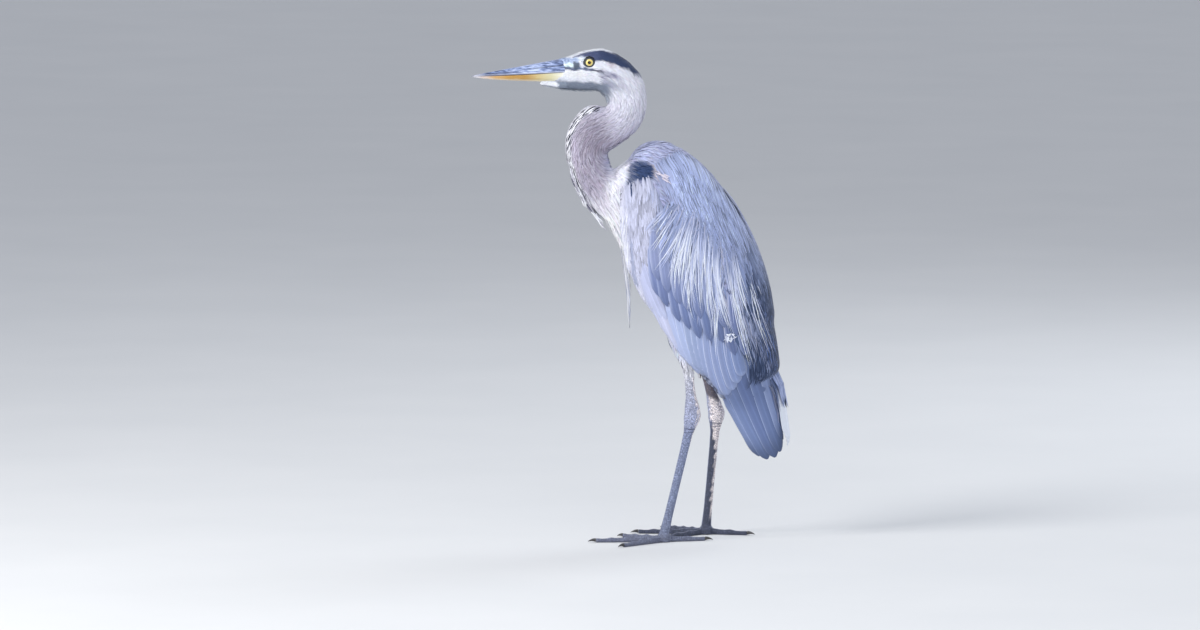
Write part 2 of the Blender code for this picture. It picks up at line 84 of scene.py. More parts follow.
class Finish:
    """A material of nodes round one shader. What is the same all over stays on the shader itself."""

    def __init__(self, name, fixed):
        self.material = bpy.data.materials.new(name)
        self.material.use_nodes = True
        self.tree = self.material.node_tree
        self.shader = self.tree.nodes["Principled BSDF"]
        for socket, value in fixed.items():
            self.shader.inputs[socket].default_value = value

    def feed(self, socket, value):
        if isinstance(value, Tint):
            self.tree.links.new(value.socket, socket)
        else:
            socket.default_value = value

    def node(self, kind, settings=None, values=None, output=0):
        made = self.tree.nodes.new(kind)
        for key, value in (settings or {}).items():
            if key == "stops":
                ramp = made.color_ramp.elements
                while len(ramp) < len(value):
                    ramp.new(1)
                for stop, (place, colour) in zip(ramp, value):
                    stop.position, stop.color = place, (*colour, 1)
            else:
                setattr(made, key, value)
        for key, value in (values or {}).items():
            self.feed(made.inputs[key], value)
        return Tint(self, made.outputs[output])

    def math(self, operation, *values):
        return self.node("ShaderNodeMath", {"operation": operation}, dict(enumerate(values)))

    def mixed(self, share, under, over, way="MIX"):
        return self.node("ShaderNodeMix", {"data_type": "RGBA", "blend_type": way},
                         {0: share, 6: under, 7: over}, 2)

    def place(self):
        return self.node("ShaderNodeTexCoord", output="Object")

    def drawn_out(self, scale):
        """The place with its axes scaled, so that a pattern on it is drawn out along the smallest."""
        return self.node("ShaderNodeMapping", None, {"Vector": self.place(), "Scale": scale})

    def axes(self, of=None):
        return self.node("ShaderNodeSeparateXYZ", None, {0: of or self.place()})

    def stored(self, name):
        """What is stored on the mesh under a name: a colour, and beside(2) of it a number."""
        return self.node("ShaderNodeAttribute", {"attribute_name": name})

    def noise(self, scale, detail=3.0, where=None):
        return self.node("ShaderNodeTexNoise", None, {"Vector": where or self.place(), "Scale": scale,
                             "Detail": detail})

    def show(self, colour, height=None, depth=0.0004, strength=0.5, rough=None):
        self.feed(self.shader.inputs["Base Color"], colour)
        if rough is not None:
            self.feed(self.shader.inputs["Roughness"], rough)
        if height is not None:
            bump = self.node("ShaderNodeBump", None, {"Height": height, "Distance": depth,
                                 "Strength": strength})
            self.feed(self.shader.inputs["Normal"], bump)
        return self.material


def lamp(name, place, aim, width, watts, colour):
    bpy.ops.object.light_add(type="AREA", location=place)
    made = bpy.context.object
    made.name, made.data.name = name, name
    made.data.size, made.data.energy, made.data.color = width, watts, colour
    made.rotation_euler = (Vector(aim) - Vector(place)).to_track_quat("-Z", "Y").to_euler()


MIDDLE = (0, 0, 0.42)
lamp("breast_lamp", (1.7, -2.6, 2.6), MIDDLE, 1.5, 92, (1, 0.985, 0.96))
lamp("side_lamp", (3.6, 0.6, 1.6), MIDDLE, 2.6, 42, (0.94, 0.97, 1))
lamp("back_lamp", (-2.2, 2.2, 2.4), MIDDLE, 1.6, 40, (0.92, 0.96, 1))
bpy.ops.mesh.primitive_plane_add(size=80, location=(0, 0, -0.0001))
floor = bpy.context.object
floor.name = "floor"
paper = Finish("pale_floor", {"Roughness": 0.75})
floor.data.materials.append(paper.show(paper.mixed(paper.noise(3.0), (0.72, 0.73, 0.74, 1),
                                    (0.78, 0.785, 0.79, 1)), paper.noise(420), 0.0002, 0.15))
scene.world = scene.world or bpy.data.worlds.new("room")
scene.world.use_nodes = True
scene.world.node_tree.nodes["Background"].inputs[0].default_value = (0.85, 0.89, 0.98, 1)
scene.world.node_tree.nodes["Background"].inputs[1].default_value = 0.58

CAMERA_AIM = Vector((0, -0.0498, 0.355))
CAMERA_LIFT = math.radians(6)
CAMERA_AWAY = 15
bpy.ops.object.camera_add(location=CAMERA_AIM + CAMERA_AWAY
                          * Vector((math.cos(CAMERA_LIFT), 0, math.sin(CAMERA_LIFT))))
camera = bpy.context.object
camera.rotation_euler = (CAMERA_AIM - camera.location).to_track_quat("-Z", "Y").to_euler()
camera.data.lens, camera.data.clip_end = 284.8, 200
scene.camera = camera


# The skin: one closed hide over the head, neck, body, upper wings and thighs. It is the solids' surface
# run together without seams and drawn in by the depth of the feathers, which is least on the face.
FLESH = ["head", "chin", "neck_upper", "neck_bend", "neck_lower", "shoulders", "trunk", "thigh_left",
         "thigh_right"]
ARM = ["scapulars", "wing_coverts_left", "wing_coverts_right"]
BILL = ["bill_upper", "bill_lower"]
BILL_CUT = -0.146
SKIN_WEAVE = 0.0023
SWELL = 0.0004
RUMP_SUNK, RUMP_NARROWED = 0.0065, 0.1
NECK_TILT = math.radians(64.3)
BODY_ROOT = np.array((0, -0.004, 0.584))
DOWN_BODY = np.array((0, math.cos(NECK_TILT), -math.sin(NECK_TILT)))
OUT_OF_BACK = np.array((0, math.sin(NECK_TILT), math.cos(NECK_TILT)))


def body_place(points):
    """Distance down the body and out through the back, in metres, of points in the room."""
    return (points - BODY_ROOT) @ DOWN_BODY, (points - BODY_ROOT) @ OUT_OF_BACK


def from_body(down, out, side=0.0):
    down, out, side = np.broadcast_arrays(down, out, side)
    spot = BODY_ROOT + down[..., None] * DOWN_BODY + out[..., None] * OUT_OF_BACK
    spot[..., 0] = side
    return spot


def merged_copy(name, parts):
    """One new mesh from copies of the solids, its loose triangles joined where they meet."""
    work = bmesh.new()
    for part in parts:
        work.from_mesh(solids[part].data)
    bmesh.ops.remove_doubles(work, verts=work.verts, dist=1e-5)
    bmesh.ops.recalc_face_normals(work, faces=work.faces)
    mesh = bpy.data.meshes.new(name)
    work.to_mesh(mesh)
    work.free()
    made = bpy.data.objects.new(name, mesh)
    scene.collection.objects.link(made)
    return made


def shape_with(piece, kind, **settings):
    """Adds a modifier and applies it."""
    bpy.ops.object.select_all(action="DESELECT")
    bpy.context.view_layer.objects.active = piece
    piece.select_set(True)
    modifier = piece.modifiers.new(kind.lower(), kind)
    for key, value in settings.items():
        setattr(modifier, key, value)
    bpy.ops.object.modifier_apply(modifier=modifier.name)


def corners_of(piece):
    count = len(piece.data.vertices) * 3
    spots, ways = np.zeros(count, np.float32), np.zeros(count, np.float32)
    piece.data.vertices.foreach_get("co", spots)
    piece.data.vertex_normals.foreach_get("vector", ways)
    return spots.reshape(-1, 3).astype(float), ways.reshape(-1, 3).astype(float)


def columns_of(*bands):
    return np.stack(bands, 1)


def read_table(at, stops, rows):
    """The rows of a table, read at places between its stops."""
    return columns_of(*[np.interp(at, stops, band) for band in np.array(rows, float).T])


def move_corners(piece, spots):
    piece.data.vertices.foreach_set("co", spots.astype(np.float32).ravel())


def shade_smooth(piece):
    piece.data.polygons.foreach_set("use_smooth", np.ones(len(piece.data.polygons), bool))


def surface_of(piece):
    """A tree of a piece's faces, to lay feathers on."""
    spots, _ = corners_of(piece)
    return BVHTree.FromPolygons(spots.tolist(), [tuple(face.vertices) for face in piece.data.polygons])


def step(low, high, value):
    """0 below low and 1 above high, with a smooth rise between."""
    share = np.clip((value - low) / (high - low), 0, 1)
    return share * share * (3 - 2 * share)


def fall(low, high, value):
    """1 below low and 0 above high, with a smooth fall between."""
    return 1 - step(low, high, value)


# The lie of the coat: a line of places from the bill through the neck bend and down the body, with the
# way that feathers point at each. Feathers near a place follow it, as they do on a live bird.
THROAT = np.array((-0.0403, 0.6888))
NAPE = np.array((-0.034, 0.611))
lie_spots = [(0, -0.15, 0.733), (0, -0.127, 0.737), (0, -0.1035, 0.741), (0, -0.082, 0.742),
             (0, -0.062, 0.743), (0, -0.044, 0.74), (0, -0.027, 0.729)]
for turn, reach in zip(np.radians((42, 28, 14, 0, -16, -32, -48, -64, -78)), np.linspace(0.0375, 0.035, 9)):
    lie_spots.append((0, THROAT[0] + reach * math.cos(turn), THROAT[1] + reach * math.sin(turn)))
for turn in np.radians(np.arange(96, 191, 13.4)):
    lie_spots.append((0, NAPE[0] + 0.041 * math.cos(turn), NAPE[1] + 0.041 * math.sin(turn)))
lie_spots += [(0, -0.0639, 0.5905), (0, -0.0593, 0.575)]
for down, out in ((0, -0.055), (0.025, -0.025), (0.055, 0.005), (0.085, 0.02), (0.12, 0.026),
                  (0.15, 0.027), (0.19, 0.026), (0.23, 0.026), (0.265, 0.026), (0.3, 0.026), (0.34, 0.026),
                  (0.391, 0.03), (0.44, 0.03)):
    lie_spots.append(tuple(from_body(down, out)))
lie_spots = np.array(lie_spots, float)
lie_reach = np.concatenate([[0], np.cumsum(np.linalg.norm(np.diff(lie_spots, axis=0), axis=1))])
lie_reach -= lie_reach[2]
lie_ways = np.gradient(lie_spots, axis=0)
lie_ways /= np.linalg.norm(lie_ways, axis=1)[:, None]
TRUNK_START = lie_reach[27]
extra_spots, extra_ways, extra_reach = [], [], []
for down, out, side, way in ((-0.028, -0.02, 0, (0.1, 1, 0)), (-0.03, 0.01, 0, (0.2, 1, 0)),
                             (-0.024, 0.04, 0, (0.5, 1, 0)), (-0.008, 0.07, 0, (1, 0.7, 0)),
                             (0.02, 0.095, 0, (1, 0.25, 0)), (-0.012, 0, 0.035, (0.7, 0.5, 0.5)),
                             (-0.004, 0.04, 0.04, (1, 0.5, 0.3)), (0.01, -0.03, 0.05, (1, 0.1, 0.25)),
                             (0.05, 0.09, 0.03, (1, 0.1, 0)), (0.1, 0.11, 0, (1, 0.02, 0)),
                             (0.03, -0.075, 0, (1, 0.05, 0)), (0.08, -0.07, 0, (1, 0, 0)),
                             (0.15, -0.07, 0, (1, 0.02, 0)), (0.25, -0.05, 0, (1, 0.2, 0)),
                             (0.12, 0, 0.07, (1, 0, 0)), (0.2, 0.1, 0.03, (1, -0.05, 0)),
                             (0.3, 0.09, 0.0, (1, -0.1, 0))):
    for hand in ((1, -1) if side else (1,)):
        extra_spots.append(from_body(np.float64(down), np.float64(out), hand * side))
        extra_ways.append(way[0] * DOWN_BODY + way[1] * OUT_OF_BACK + np.array((hand * way[2], 0, 0)))
        extra_reach.append(TRUNK_START + max(down, 0))
for hip, knee in (((0.032, 0.076, 0.333), (0.041, 0.09, 0.265)),
                  ((-0.031, 0.088, 0.333), (-0.032, 0.116, 0.265))):
    for share in (0.25, 0.6, 0.95):
        extra_spots.append(np.array(hip) + share * (np.array(knee) - np.array(hip)))
        extra_ways.append(np.array(knee) - np.array(hip))
        extra_reach.append(TRUNK_START + 0.34)
guide_spots = np.vstack([lie_spots, extra_spots])
guide_ways = np.vstack([lie_ways, np.array(extra_ways) / np.linalg.norm(extra_ways, axis=1)[:, None]])
guide_reach = np.concatenate([lie_reach, extra_reach])


def lie_at(points):
    """The way that feathers point at each point, its distance along the bird and its turn round it."""
    away = ((points[:, None, :] - guide_spots[None]) ** 2).sum(2)
    pull = 1 / (away + 4e-5) ** 2.5
    pull /= pull.sum(1)[:, None]
    centre = pull[:, :len(lie_spots)] @ lie_spots / pull[:, :len(lie_spots)].sum(1)[:, None]
    way = pull @ guide_ways
    arm = points - centre
    front = columns_of(np.zeros(len(way)), way[:, 2], -way[:, 1])
    turn = np.arctan2(arm[:, 0], (arm * front).sum(1)) / (2 * math.pi)
    return way, pull @ guide_reach, turn


def coat_depth(points):
    """How deep the feathers are over the skin, in metres."""
    _, reach, _ = lie_at(points)
    return np.interp(reach, (0, 0.03, 0.07, 0.12, 0.25, 0.34, 0.45), (0.0006, 0.0008, 0.0014, 0.002,
                         0.0024, 0.003, 0.0032))


EYE_BACK = (0.0134, -0.0665, 0.7566)


def ahead_of_rim(points):
    """1 where the bill's horn has come out of the skin, 0 behind that rim."""
    y, z, side = points[:, 1] * 1000, points[:, 2] * 1000, np.abs(points[:, 0]) * 1000
    rim = np.interp(z, (718, 724, 729, 734, 740, 743, 747, 756, 761, 764), (-170, -150, -120, -111, -106,
                        -104, -105, -107, -112, -116))
    rim -= 4 * fall(2, 6, side) * step(752, 758, z)
    return fall(rim - 3.0, rim + 0.6, y)


def beside_eye(points):
    """Distance from the eyes' axis in the side view, in metres."""
    return np.hypot(points[:, 1] - EYE_BACK[1], points[:, 2] - EYE_BACK[2])


skin = merged_copy("skin", FLESH + ARM + BILL)
work = bmesh.new()
work.from_mesh(skin.data)
bmesh.ops.bisect_plane(work, geom=work.verts[:] + work.edges[:] + work.faces[:], plane_co=(0, BILL_CUT, 0),
                       plane_no=(0, -1, 0), clear_outer=True)
bmesh.ops.holes_fill(work, edges=[edge for edge in work.edges if edge.is_boundary])
work.to_mesh(skin.data)
work.free()
shape_with(skin, "DISPLACE", strength=SWELL, mid_level=0)
shape_with(skin, "REMESH", mode="VOXEL", voxel_size=SKIN_WEAVE)
shape_with(skin, "SMOOTH", factor=0.5, iterations=7)
hide_spots, hide_ways = corners_of(skin)
by_bill = fall(-0.106, -0.09, hide_spots[:, 1])
depth = coat_depth(hide_spots) * (1 - by_bill) - 0.00035 * by_bill
depth += 0.0021 * ahead_of_rim(hide_spots) * by_bill
depth += 0.0012 * fall(-0.124, -0.112, hide_spots[:, 1]) * fall(0.729, 0.733, hide_spots[:, 2])
depth += 0.0007 * fall(0.007, 0.0092, beside_eye(hide_spots))
hide_spots -= hide_ways * (depth + SWELL)[:, None]
down, out = body_place(hide_spots)
under_rump = step(0.235, 0.3, down) * step(0.03, 0.06, out)
hide_spots -= (RUMP_SUNK * under_rump)[:, None] * OUT_OF_BACK
hide_spots[:, 0] *= 1 - RUMP_NARROWED * under_rump
move_corners(skin, hide_spots)
skin.data.update()
shape_with(skin, "SMOOTH", factor=0.4, iterations=3)
hide_spots, _ = corners_of(skin)
down, out = body_place(hide_spots)
soften = skin.vertex_groups.new(name="wing_front")
wing_front = step(-0.02, 0.0, down) * fall(0.15, 0.21, down) * fall(0.0, 0.03, out)
wing_front = wing_front * step(0.015, 0.03, np.abs(hide_spots[:, 0]))
for index in np.nonzero(wing_front > 0.02)[0].tolist():
    soften.add([index], float(wing_front[index]), "REPLACE")
shape_with(skin, "SMOOTH", factor=0.5, iterations=45, vertex_group="wing_front")
shade_smooth(skin)


# The markings, the same on skin and feathers: white face and forehead under a navy crown, with the chin and
# throat under the bill blue-grey as painted shade, a pale lilac neck that darkens to mauve at the bend,
# black and white flecks down its front, a navy patch at each shoulder, white breast and belly, a blue-grey
# back with navy painted low down as the shade of its side turned from the light, and pale thighs, dark
# brown on their inner sides, where their rufous is deepened by painted shade.
SHOULDER_NAVY = (0.022, 0.048, 0.14)


def ripple(points, size, seed):
    """A soft random wave over space, from -1 to 1, whose bumps are about this size."""
    rng = np.random.default_rng(seed)
    total = np.zeros(len(points))
    for _ in range(5):
        way = rng.normal(size=3)
        total += np.sin(points @ (way / np.linalg.norm(way)) * (6.2 / size) * rng.uniform(0.7, 1.5)
                        + rng.uniform(0, 6.2))
    return total / 3


def near_line(y, z, line, half_width, fade):
    """1 on a line of (y, z) places, in millimetres, falling to 0 beyond its half width."""
    best = np.full(len(y), 1e9)
    for (y0, z0), (y1, z1) in zip(line[:-1], line[1:]):
        dy, dz = y1 - y0, z1 - z0
        along = np.clip(((y - y0) * dy + (z - z0) * dz) / (dy * dy + dz * dz), 0, 1)
        best = np.minimum(best, np.hypot(y - y0 - along * dy, z - z0 - along * dz))
    return fall(half_width, half_width + fade, best)


def in_patch(y, z, place, size, fade=0.35):
    """1 inside an oval of the side view, in millimetres, falling to 0 past its rim."""
    rim = np.hypot((y - place[0]) / size[0], (z - place[1]) / size[1])
    return fall(1 - fade, 1 + fade, rim)


def shaded_back(down, out):
    """1 in the area beside the back's edge, low down the bird, painted navy as the shade of the back's side
    turned from the light.
    """
    edge = np.interp(down, (0.15, 0.2, 0.25, 0.3, 0.35, 0.39), (0.15, 0.116, 0.095, 0.076, 0.052, 0.042))
    return step(-0.012, 0.014, out - edge) * step(0.16, 0.285, down)


# The head's marks in the order they are painted: a share, then a line's places, half width and fade, or an
# oval's middle, half sizes and fade, in millimetres, and a tone. First the marks of cheek and ear, with the
# throat under the jaw blue-grey as painted shade, then the slate bill base, the lores' dark line and spot,
# and the pale marks before and over the eye.
BILL_BASE_SHADE = ((-114, 758), (-100, 757.5), (-88, 760))
HEAD_MARKS = (
    (0.6, ((-50, 742), (-36, 738), (-24, 736)), 3.2, 2.5, (0.27, 0.26, 0.4)),
    (0.85, ((-51, 735), (-38, 735.5), (-28, 737.5)), 1.2, 1.2, (0.17, 0.16, 0.28)),
    # painted shade: the throat under the jaw, blue-grey
    (0.65, ((-46, 728), (-36, 724), (-26, 721)), 3.5, 3, (0.24, 0.26, 0.37)),
    (0.4, ((-20, 727), (-8, 716)), 3, 4, (0.45, 0.44, 0.56)),
    (0.5, ((-35, 753.5),), (5.5, 4), 0.35, (0.58, 0.47, 0.52)),
    (0.92, BILL_BASE_SHADE, 3.2, 2, (0.36, 0.46, 0.7)),
    (0.95, ((-114, 747.5), (-92, 746.6), (-76, 746.4), (-61, 746.2)), 1.9, 1.2, (0.045, 0.07, 0.16)),
    (0.95, ((-86, 752),), (5.8, 6.0), 0.25, (0.035, 0.065, 0.12)),
    (0.95, ((-98.5, 752),), (7.5, 3.2), 0.25, (0.66, 0.84, 0.88)),
    (0.9, ((-77.5, 754),), (3.0, 6.0), 0.25, (0.78, 0.8, 0.92)),
    (0.95, ((-62, 743.6), (-49, 742.6)), 0.9, 0.8, (0.035, 0.04, 0.08)),
    (0.85, ((-78, 762.5),), (9, 3.5), 0.35, (0.8, 0.88, 0.98)),
    (0.25, ((-92, 738),), (18, 6), 0.35, (0.93, 0.9, 0.78)),
)


def markings(points):
    """The colour at points on the bird."""
    _, reach, turn = lie_at(points)
    down, out = body_place(points)
    side, y, z = np.abs(points[:, 0]) * 1000, points[:, 1] * 1000, points[:, 2] * 1000
    wave = ripple(points, 0.01, 3)
    y, z = y + 1.6 * wave, z + 1.6 * ripple(points, 0.012, 4)
    stops = (0, 0.05, 0.11, 0.16, 0.2, 0.24, 0.3, 0.34, 0.38, 0.46, 0.6, 0.8)
    ladder = ((0.84, 0.86, 0.95), (0.84, 0.85, 0.93), (0.78, 0.78, 0.87), (0.66, 0.64, 0.76),
              (0.55, 0.52, 0.64), (0.49, 0.44, 0.55), (0.58, 0.54, 0.65), (0.8, 0.78, 0.87),
              (0.97, 0.97, 1.0), (0.95, 0.96, 1.0), (0.62, 0.65, 0.76), (0.56, 0.6, 0.72))
    colour = read_table(reach, stops, ladder)

    def paint(mask, tone):
        nonlocal colour
        mask = np.clip(mask, 0, 1)[:, None]
        colour = colour * (1 - mask) + np.array(tone) * mask

    head = step(695, 712, z) * fall(10, 30, y)
    streak = np.sin(turn * 2 * math.pi * 23 + 2.5 * ripple(points, 0.03, 6))
    # back, sides and hump
    back = step(-0.035, 0.015, out) * step(-0.012, 0.02, down)
    paint(back * (1 - 0.35 * step(0.2, 0.35, down)), (0.37, 0.42, 0.64))
    paint(step(0.045, 0.1, out) * step(0.0, 0.05, down), (0.32, 0.38, 0.6))
    # painted shade: navy beside the back's low edge, where the back turns away from the light
    paint(shaded_back(down, out), (0.035, 0.055, 0.13))
    hump = step(-0.05, -0.034, down) * step(-0.045, -0.02, out) * fall(0.05, 0.1, down) * (1 - head)
    paint(0.92 * hump, (0.42, 0.46, 0.7))
    paint(0.5 * hump * step(0.0, 0.6, ripple(points, 0.013, 8)), (0.24, 0.27, 0.44))
    paint(0.4 * hump * step(0.1, 0.6, ripple(points, 0.01, 18)), (0.52, 0.55, 0.76))
    paint(in_patch(y, z, (22, 515), (24, 60)) * step(24, 40, side) * 0.9, (0.6, 0.62, 0.82))
    paint(0.7 * in_patch(y, z, (46, 512), (20, 46)) * step(38, 52, side), (0.34, 0.38, 0.58))
    paint(0.45 * in_patch(y, z, (40, 510), (30, 60)) * step(38, 52, side) * step(0.1, 0.6,
              ripple(points, 0.012, 28)), (0.2, 0.23, 0.4))
    # neck
    paint(0.85 * in_patch(y, z, (-56, 640), (26, 34), 0.5) * (1 - head), (0.31, 0.27, 0.35))
    paint(0.8 * in_patch(y, z, (-64, 582), (22, 36), 0.5), (0.33, 0.3, 0.39))
    paint(0.3 * step(0.3, 0.9, streak) * step(0.16, 0.2, reach) * fall(0.34, 0.4, reach), (0.62, 0.6, 0.7))
    paint(0.9 * near_line(y, z, ((-17, 592), (-26, 560), (-22, 520), (-12, 480)), 9, 12)
          * fall(40, 55, side), (0.9, 0.9, 0.97))
    fore = near_line(y, z, ((-52, 694), (-62, 693), (-84, 676), (-98, 655), (-106, 625), (-104, 590),
                            (-92, 560), (-70, 525), (-48, 500)), 9.5, 3)
    fore = fore * fall(14, 18, side) * fall(0.36, 0.4, reach)
    paint(0.9 * fore, (0.84, 0.84, 0.91))
    beat = reach * 1000 / 2.25 + 1.3 * np.sin(reach * 190) + 1.9 * np.sign(points[:, 0]) + 0.1 * side
    dash = np.sin(beat)
    paint(0.96 * fore * step(-0.05, 0.35, dash) * step(4.5, 7, side) * fall(0.32, 0.35, reach),
          (0.035, 0.04, 0.085))
    paint(0.7 * fore * step(0.2, 0.7, np.sin(points[:, 0] * 1300)) * step(0.31, 0.36, reach),
          (0.16, 0.17, 0.27))
    # shoulder
    paint(near_line(y, z, ((36, 590), (44, 583), (54, 571)), 5, 4) * step(14, 24, side), (0.88, 0.8, 0.86))
    paint(in_patch(y, z, (15, 587), (22.5, 15.5), 0.14) * step(12, 20, side), SHOULDER_NAVY)
    paint(near_line(y, z, ((2, 592), (-1, 575), (-2, 557)), 4.0, 1.8) * step(12, 20, side), SHOULDER_NAVY)
    # head
    # painted shade: the white chin and throat under the bill, drawn blue-grey
    paint(0.92 * head * fall(721, 727, z + 0.05 * (y + 40)) * fall(-42, -28, y), (0.17, 0.21, 0.29))
    paint(head * near_line(y, z, ((-150, 725), (-128, 721.5), (-120, 720)), 3.5, 2.5), (0.86, 0.88, 0.95))
    crown = near_line(y, z, ((-74, 769), (-66, 769), (-50, 766.5), (-33, 765), (-16, 759), (-2, 753),
                             (6, 747)), 7.2, 1.4)
    crown = np.maximum(crown, near_line(y, z, ((-54, 775), (-38, 776), (-24, 771), (-10, 763)), 6.5, 2)
                       * step(6, 9, side))
    crown = np.maximum(crown, step(-30, -22, y) * step(750, 757, z + 0.35 * (y + 20)))
    crown = crown * head * step(6.5, 9, side + 30 * step(-34, -18, y))
    paint(0.98 * crown, (0.018, 0.04, 0.12))
    paint(0.45 * crown * fall(-70, -44, y), (0.13, 0.15, 0.3))
    paint(0.9 * head * near_line(y, z, ((-92, 765.5), (-82, 767), (-74, 770)), 0.9, 0.9), (0.1, 0.12, 0.22))
    paint(0.9 * head * fall(7, 10.5, side) * step(755, 763, z) * fall(-44, -30, y), (0.9, 0.93, 1.0))
    for share, places, size, fade, tone in HEAD_MARKS:
        if len(places) > 1:
            mask = near_line(y, z, places, size, fade)
        else:
            mask = in_patch(y, z, places[0], size, fade)
        paint(share * head * mask, tone)
        if places == BILL_BASE_SHADE:
            mottle = step(0.0, 0.5, ripple(points, 0.006, 58))
            paint(0.6 * head * mottle * near_line(y, z, ((-114, 756), (-96, 757)), 3.5, 2),
                  (0.08, 0.12, 0.26))
    # thighs
    thigh = fall(0.3, 0.335, points[:, 2]) * fall(-0.02, 0.02, out - 0.1)
    inner_side = fall(26, 34, side)
    paint(0.85 * thigh * fall(0.275, 0.31, points[:, 2]), (0.78, 0.78, 0.85))
    # the inner thigh's dark brown: rufous, deepened by painted shade
    paint(0.9 * thigh * fall(0.285, 0.325, points[:, 2]) * inner_side, (0.15, 0.11, 0.12))
    return np.clip(colour, 0.01, 1)


def paint_corners(mesh, colours):
    layer = mesh.color_attributes.new("Coat", "FLOAT_COLOR", "POINT")
    layer.data.foreach_set("color", np.concatenate([colours, np.ones((len(colours), 1))],
                               1).astype(np.float32).ravel())


def bare_skin(points):
    """1 on the lores, the strip of bare skin between bill and eye."""
    y, z, side = points[:, 1] * 1000, points[:, 2] * 1000, np.abs(points[:, 0]) * 1000
    low = np.interp(y, (-112, -60), (744.5, 742.5))
    high = np.interp(y, (-112, -92, -76, -60), (761, 760, 757, 757))
    between = step(low - 0.5, low + 0.8, z) * fall(high - 1.2, high + 1.2, z)
    return between * fall(-64, -58, y) * step(4, 7, side)


paint_corners(skin.data, markings(corners_of(skin)[0]) * 0.92)
bare = skin.data.attributes.new("Bare", "FLOAT", "POINT")
bare.data.foreach_set("value", bare_skin(corners_of(skin)[0]).astype(np.float32))
hide = Finish("hide", {"Roughness": 0.7, "Sheen Weight": 0.1})
skin_tone = hide.stored("Coat")
bareness = hide.stored("Bare").beside(2)
down_fluff = hide.noise(900, 4)
fluffy = hide.mixed(1, skin_tone, 0.82 + down_fluff * 0.36, "MULTIPLY")
grooves = hide.noise(500, 5, hide.drawn_out((1, 0.16, 1.7)))
leathery = hide.mixed(1, skin_tone, 0.15 + grooves * 1.65, "MULTIPLY")
leathery = hide.mixed(((grooves - 0.6) * 6).held() * 0.22, leathery, (0.55, 0.64, 0.84, 1))
skin.data.materials.append(hide.show(hide.mixed(bareness, fluffy, leathery), down_fluff * (1 - bareness)
                               + grooves * bareness, 0.0006, 0.6, 0.7 - bareness * 0.3))
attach(skin, "root")
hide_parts(*FLESH)
skin_tree = surface_of(skin)


# The small feathers: short stiff ones on the face, longer soft ones down the neck, broad ones over
# breast, back, upper wing and thigh. Each is one thin vane with its root on the skin, laid over the roots
# behind it.
VANE_SHAPES = {
    "lance": ((0, 0.15, 0.4, 0.7, 0.9, 1), (0.35, 0.8, 1, 0.78, 0.38, 0.03)),
    "point": ((0, 0.12, 0.5, 0.8, 0.92, 1), (0.3, 0.7, 1, 0.93, 0.55, 0.02)),
    "quill": ((0, 0.1, 0.3, 0.6, 0.88, 0.94, 0.98, 1), (0.5, 0.85, 0.96, 1, 0.96, 0.82, 0.5, 0.1)),
    "blade": ((0, 0.1, 0.3, 0.6, 0.85, 0.95, 1), (0.5, 0.9, 1, 0.92, 0.68, 0.42, 0.05)),
}
VANE_DROP = 0.22


def vane_width(kind, along):
    """Half width of a vane as a share of its widest, at each share of its length."""
    return np.interp(along, *VANE_SHAPES[kind])


def hang(name, spots, colours, bake_spots, lengths, finish, slot, replaces=()):
    """Makes one piece of many vanes. spots and colours go (vane, row, column, 3), and row 0 is the root."""
    count, rows, columns = spots.shape[:3]
    cell = np.arange(rows * columns).reshape(rows, columns)
    one = np.stack([cell[:-1, :-1], cell[:-1, 1:], cell[1:, 1:], cell[1:, :-1]], -1).reshape(-1, 4)
    faces = (one[None] + (np.arange(count) * rows * columns)[:, None, None]).reshape(-1, 4)
    mesh = bpy.data.meshes.new(name)
    mesh.from_pydata(spots.reshape(-1, 3), [], faces)
    paint_corners(mesh, colours.reshape(-1, 3))
    across = np.linspace(0, 1, columns)[None, None, :] * np.ones((count, rows, 1))
    along = np.linspace(0, 1, rows)[None, :, None] * np.ones((count, 1, columns))
    vane_map = np.stack([across, along * lengths[:, None, None] * 100], -1).reshape(-1, 2)
    bake_map = bake_spots[:, None, None] + 0.003 * np.stack([across - 0.5, along - 0.5], -1)
    for title, places in (("OFBake", bake_map.reshape(-1, 2)), ("Vane", vane_map)):
        layer = mesh.uv_layers.new(name=title)
        layer.data.foreach_set("uv", places[faces.ravel()].astype(np.float32).ravel())
    made = bpy.data.objects.new(name, mesh)
    scene.collection.objects.link(made)
    shade_smooth(made)
    mesh.materials.append(finish)
    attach(made, "root")
    if replaces:
        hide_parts(*replaces)
    return made


def together(sets):
    """One set of vanes, paints, bake places and lengths from several."""
    return [np.concatenate(parts) for parts in zip(*sets)]


def vane_finish(name, shaft, barb_bump, rough, streak=0.12):
    """Feather: the vane's own paint, a shaft down its middle and fine slanting barbs at its sides."""
    made = Finish(name, {"Roughness": rough, "Sheen Weight": 0.12, "Sheen Roughness": 0.4,
                         "Specular IOR Level": 0.35})
    paint = made.stored("Coat")
    vane = made.node("ShaderNodeUVMap", {"uv_map": "Vane"})
    parts = made.axes(vane)
    off_shaft = abs(parts - 0.5) * 2
    barbs = made.math("SINE", parts.beside(1) * 62 + off_shaft * 9)
    grain = made.noise(260, 3)
    tone = 1 - streak + streak * 1.7 * grain + barbs * 0.035 - off_shaft * 0.05
    colour = made.mixed(1, paint, tone, "MULTIPLY")
    colour = made.mixed(1, colour, 1 + (1 - off_shaft * 9).held() * shaft, "MULTIPLY")
    height = barbs * 0.3 + (1 - off_shaft * 7).held() * 1.2 + grain * 0.5
    return made.show(colour, height, barb_bump, 0.55)


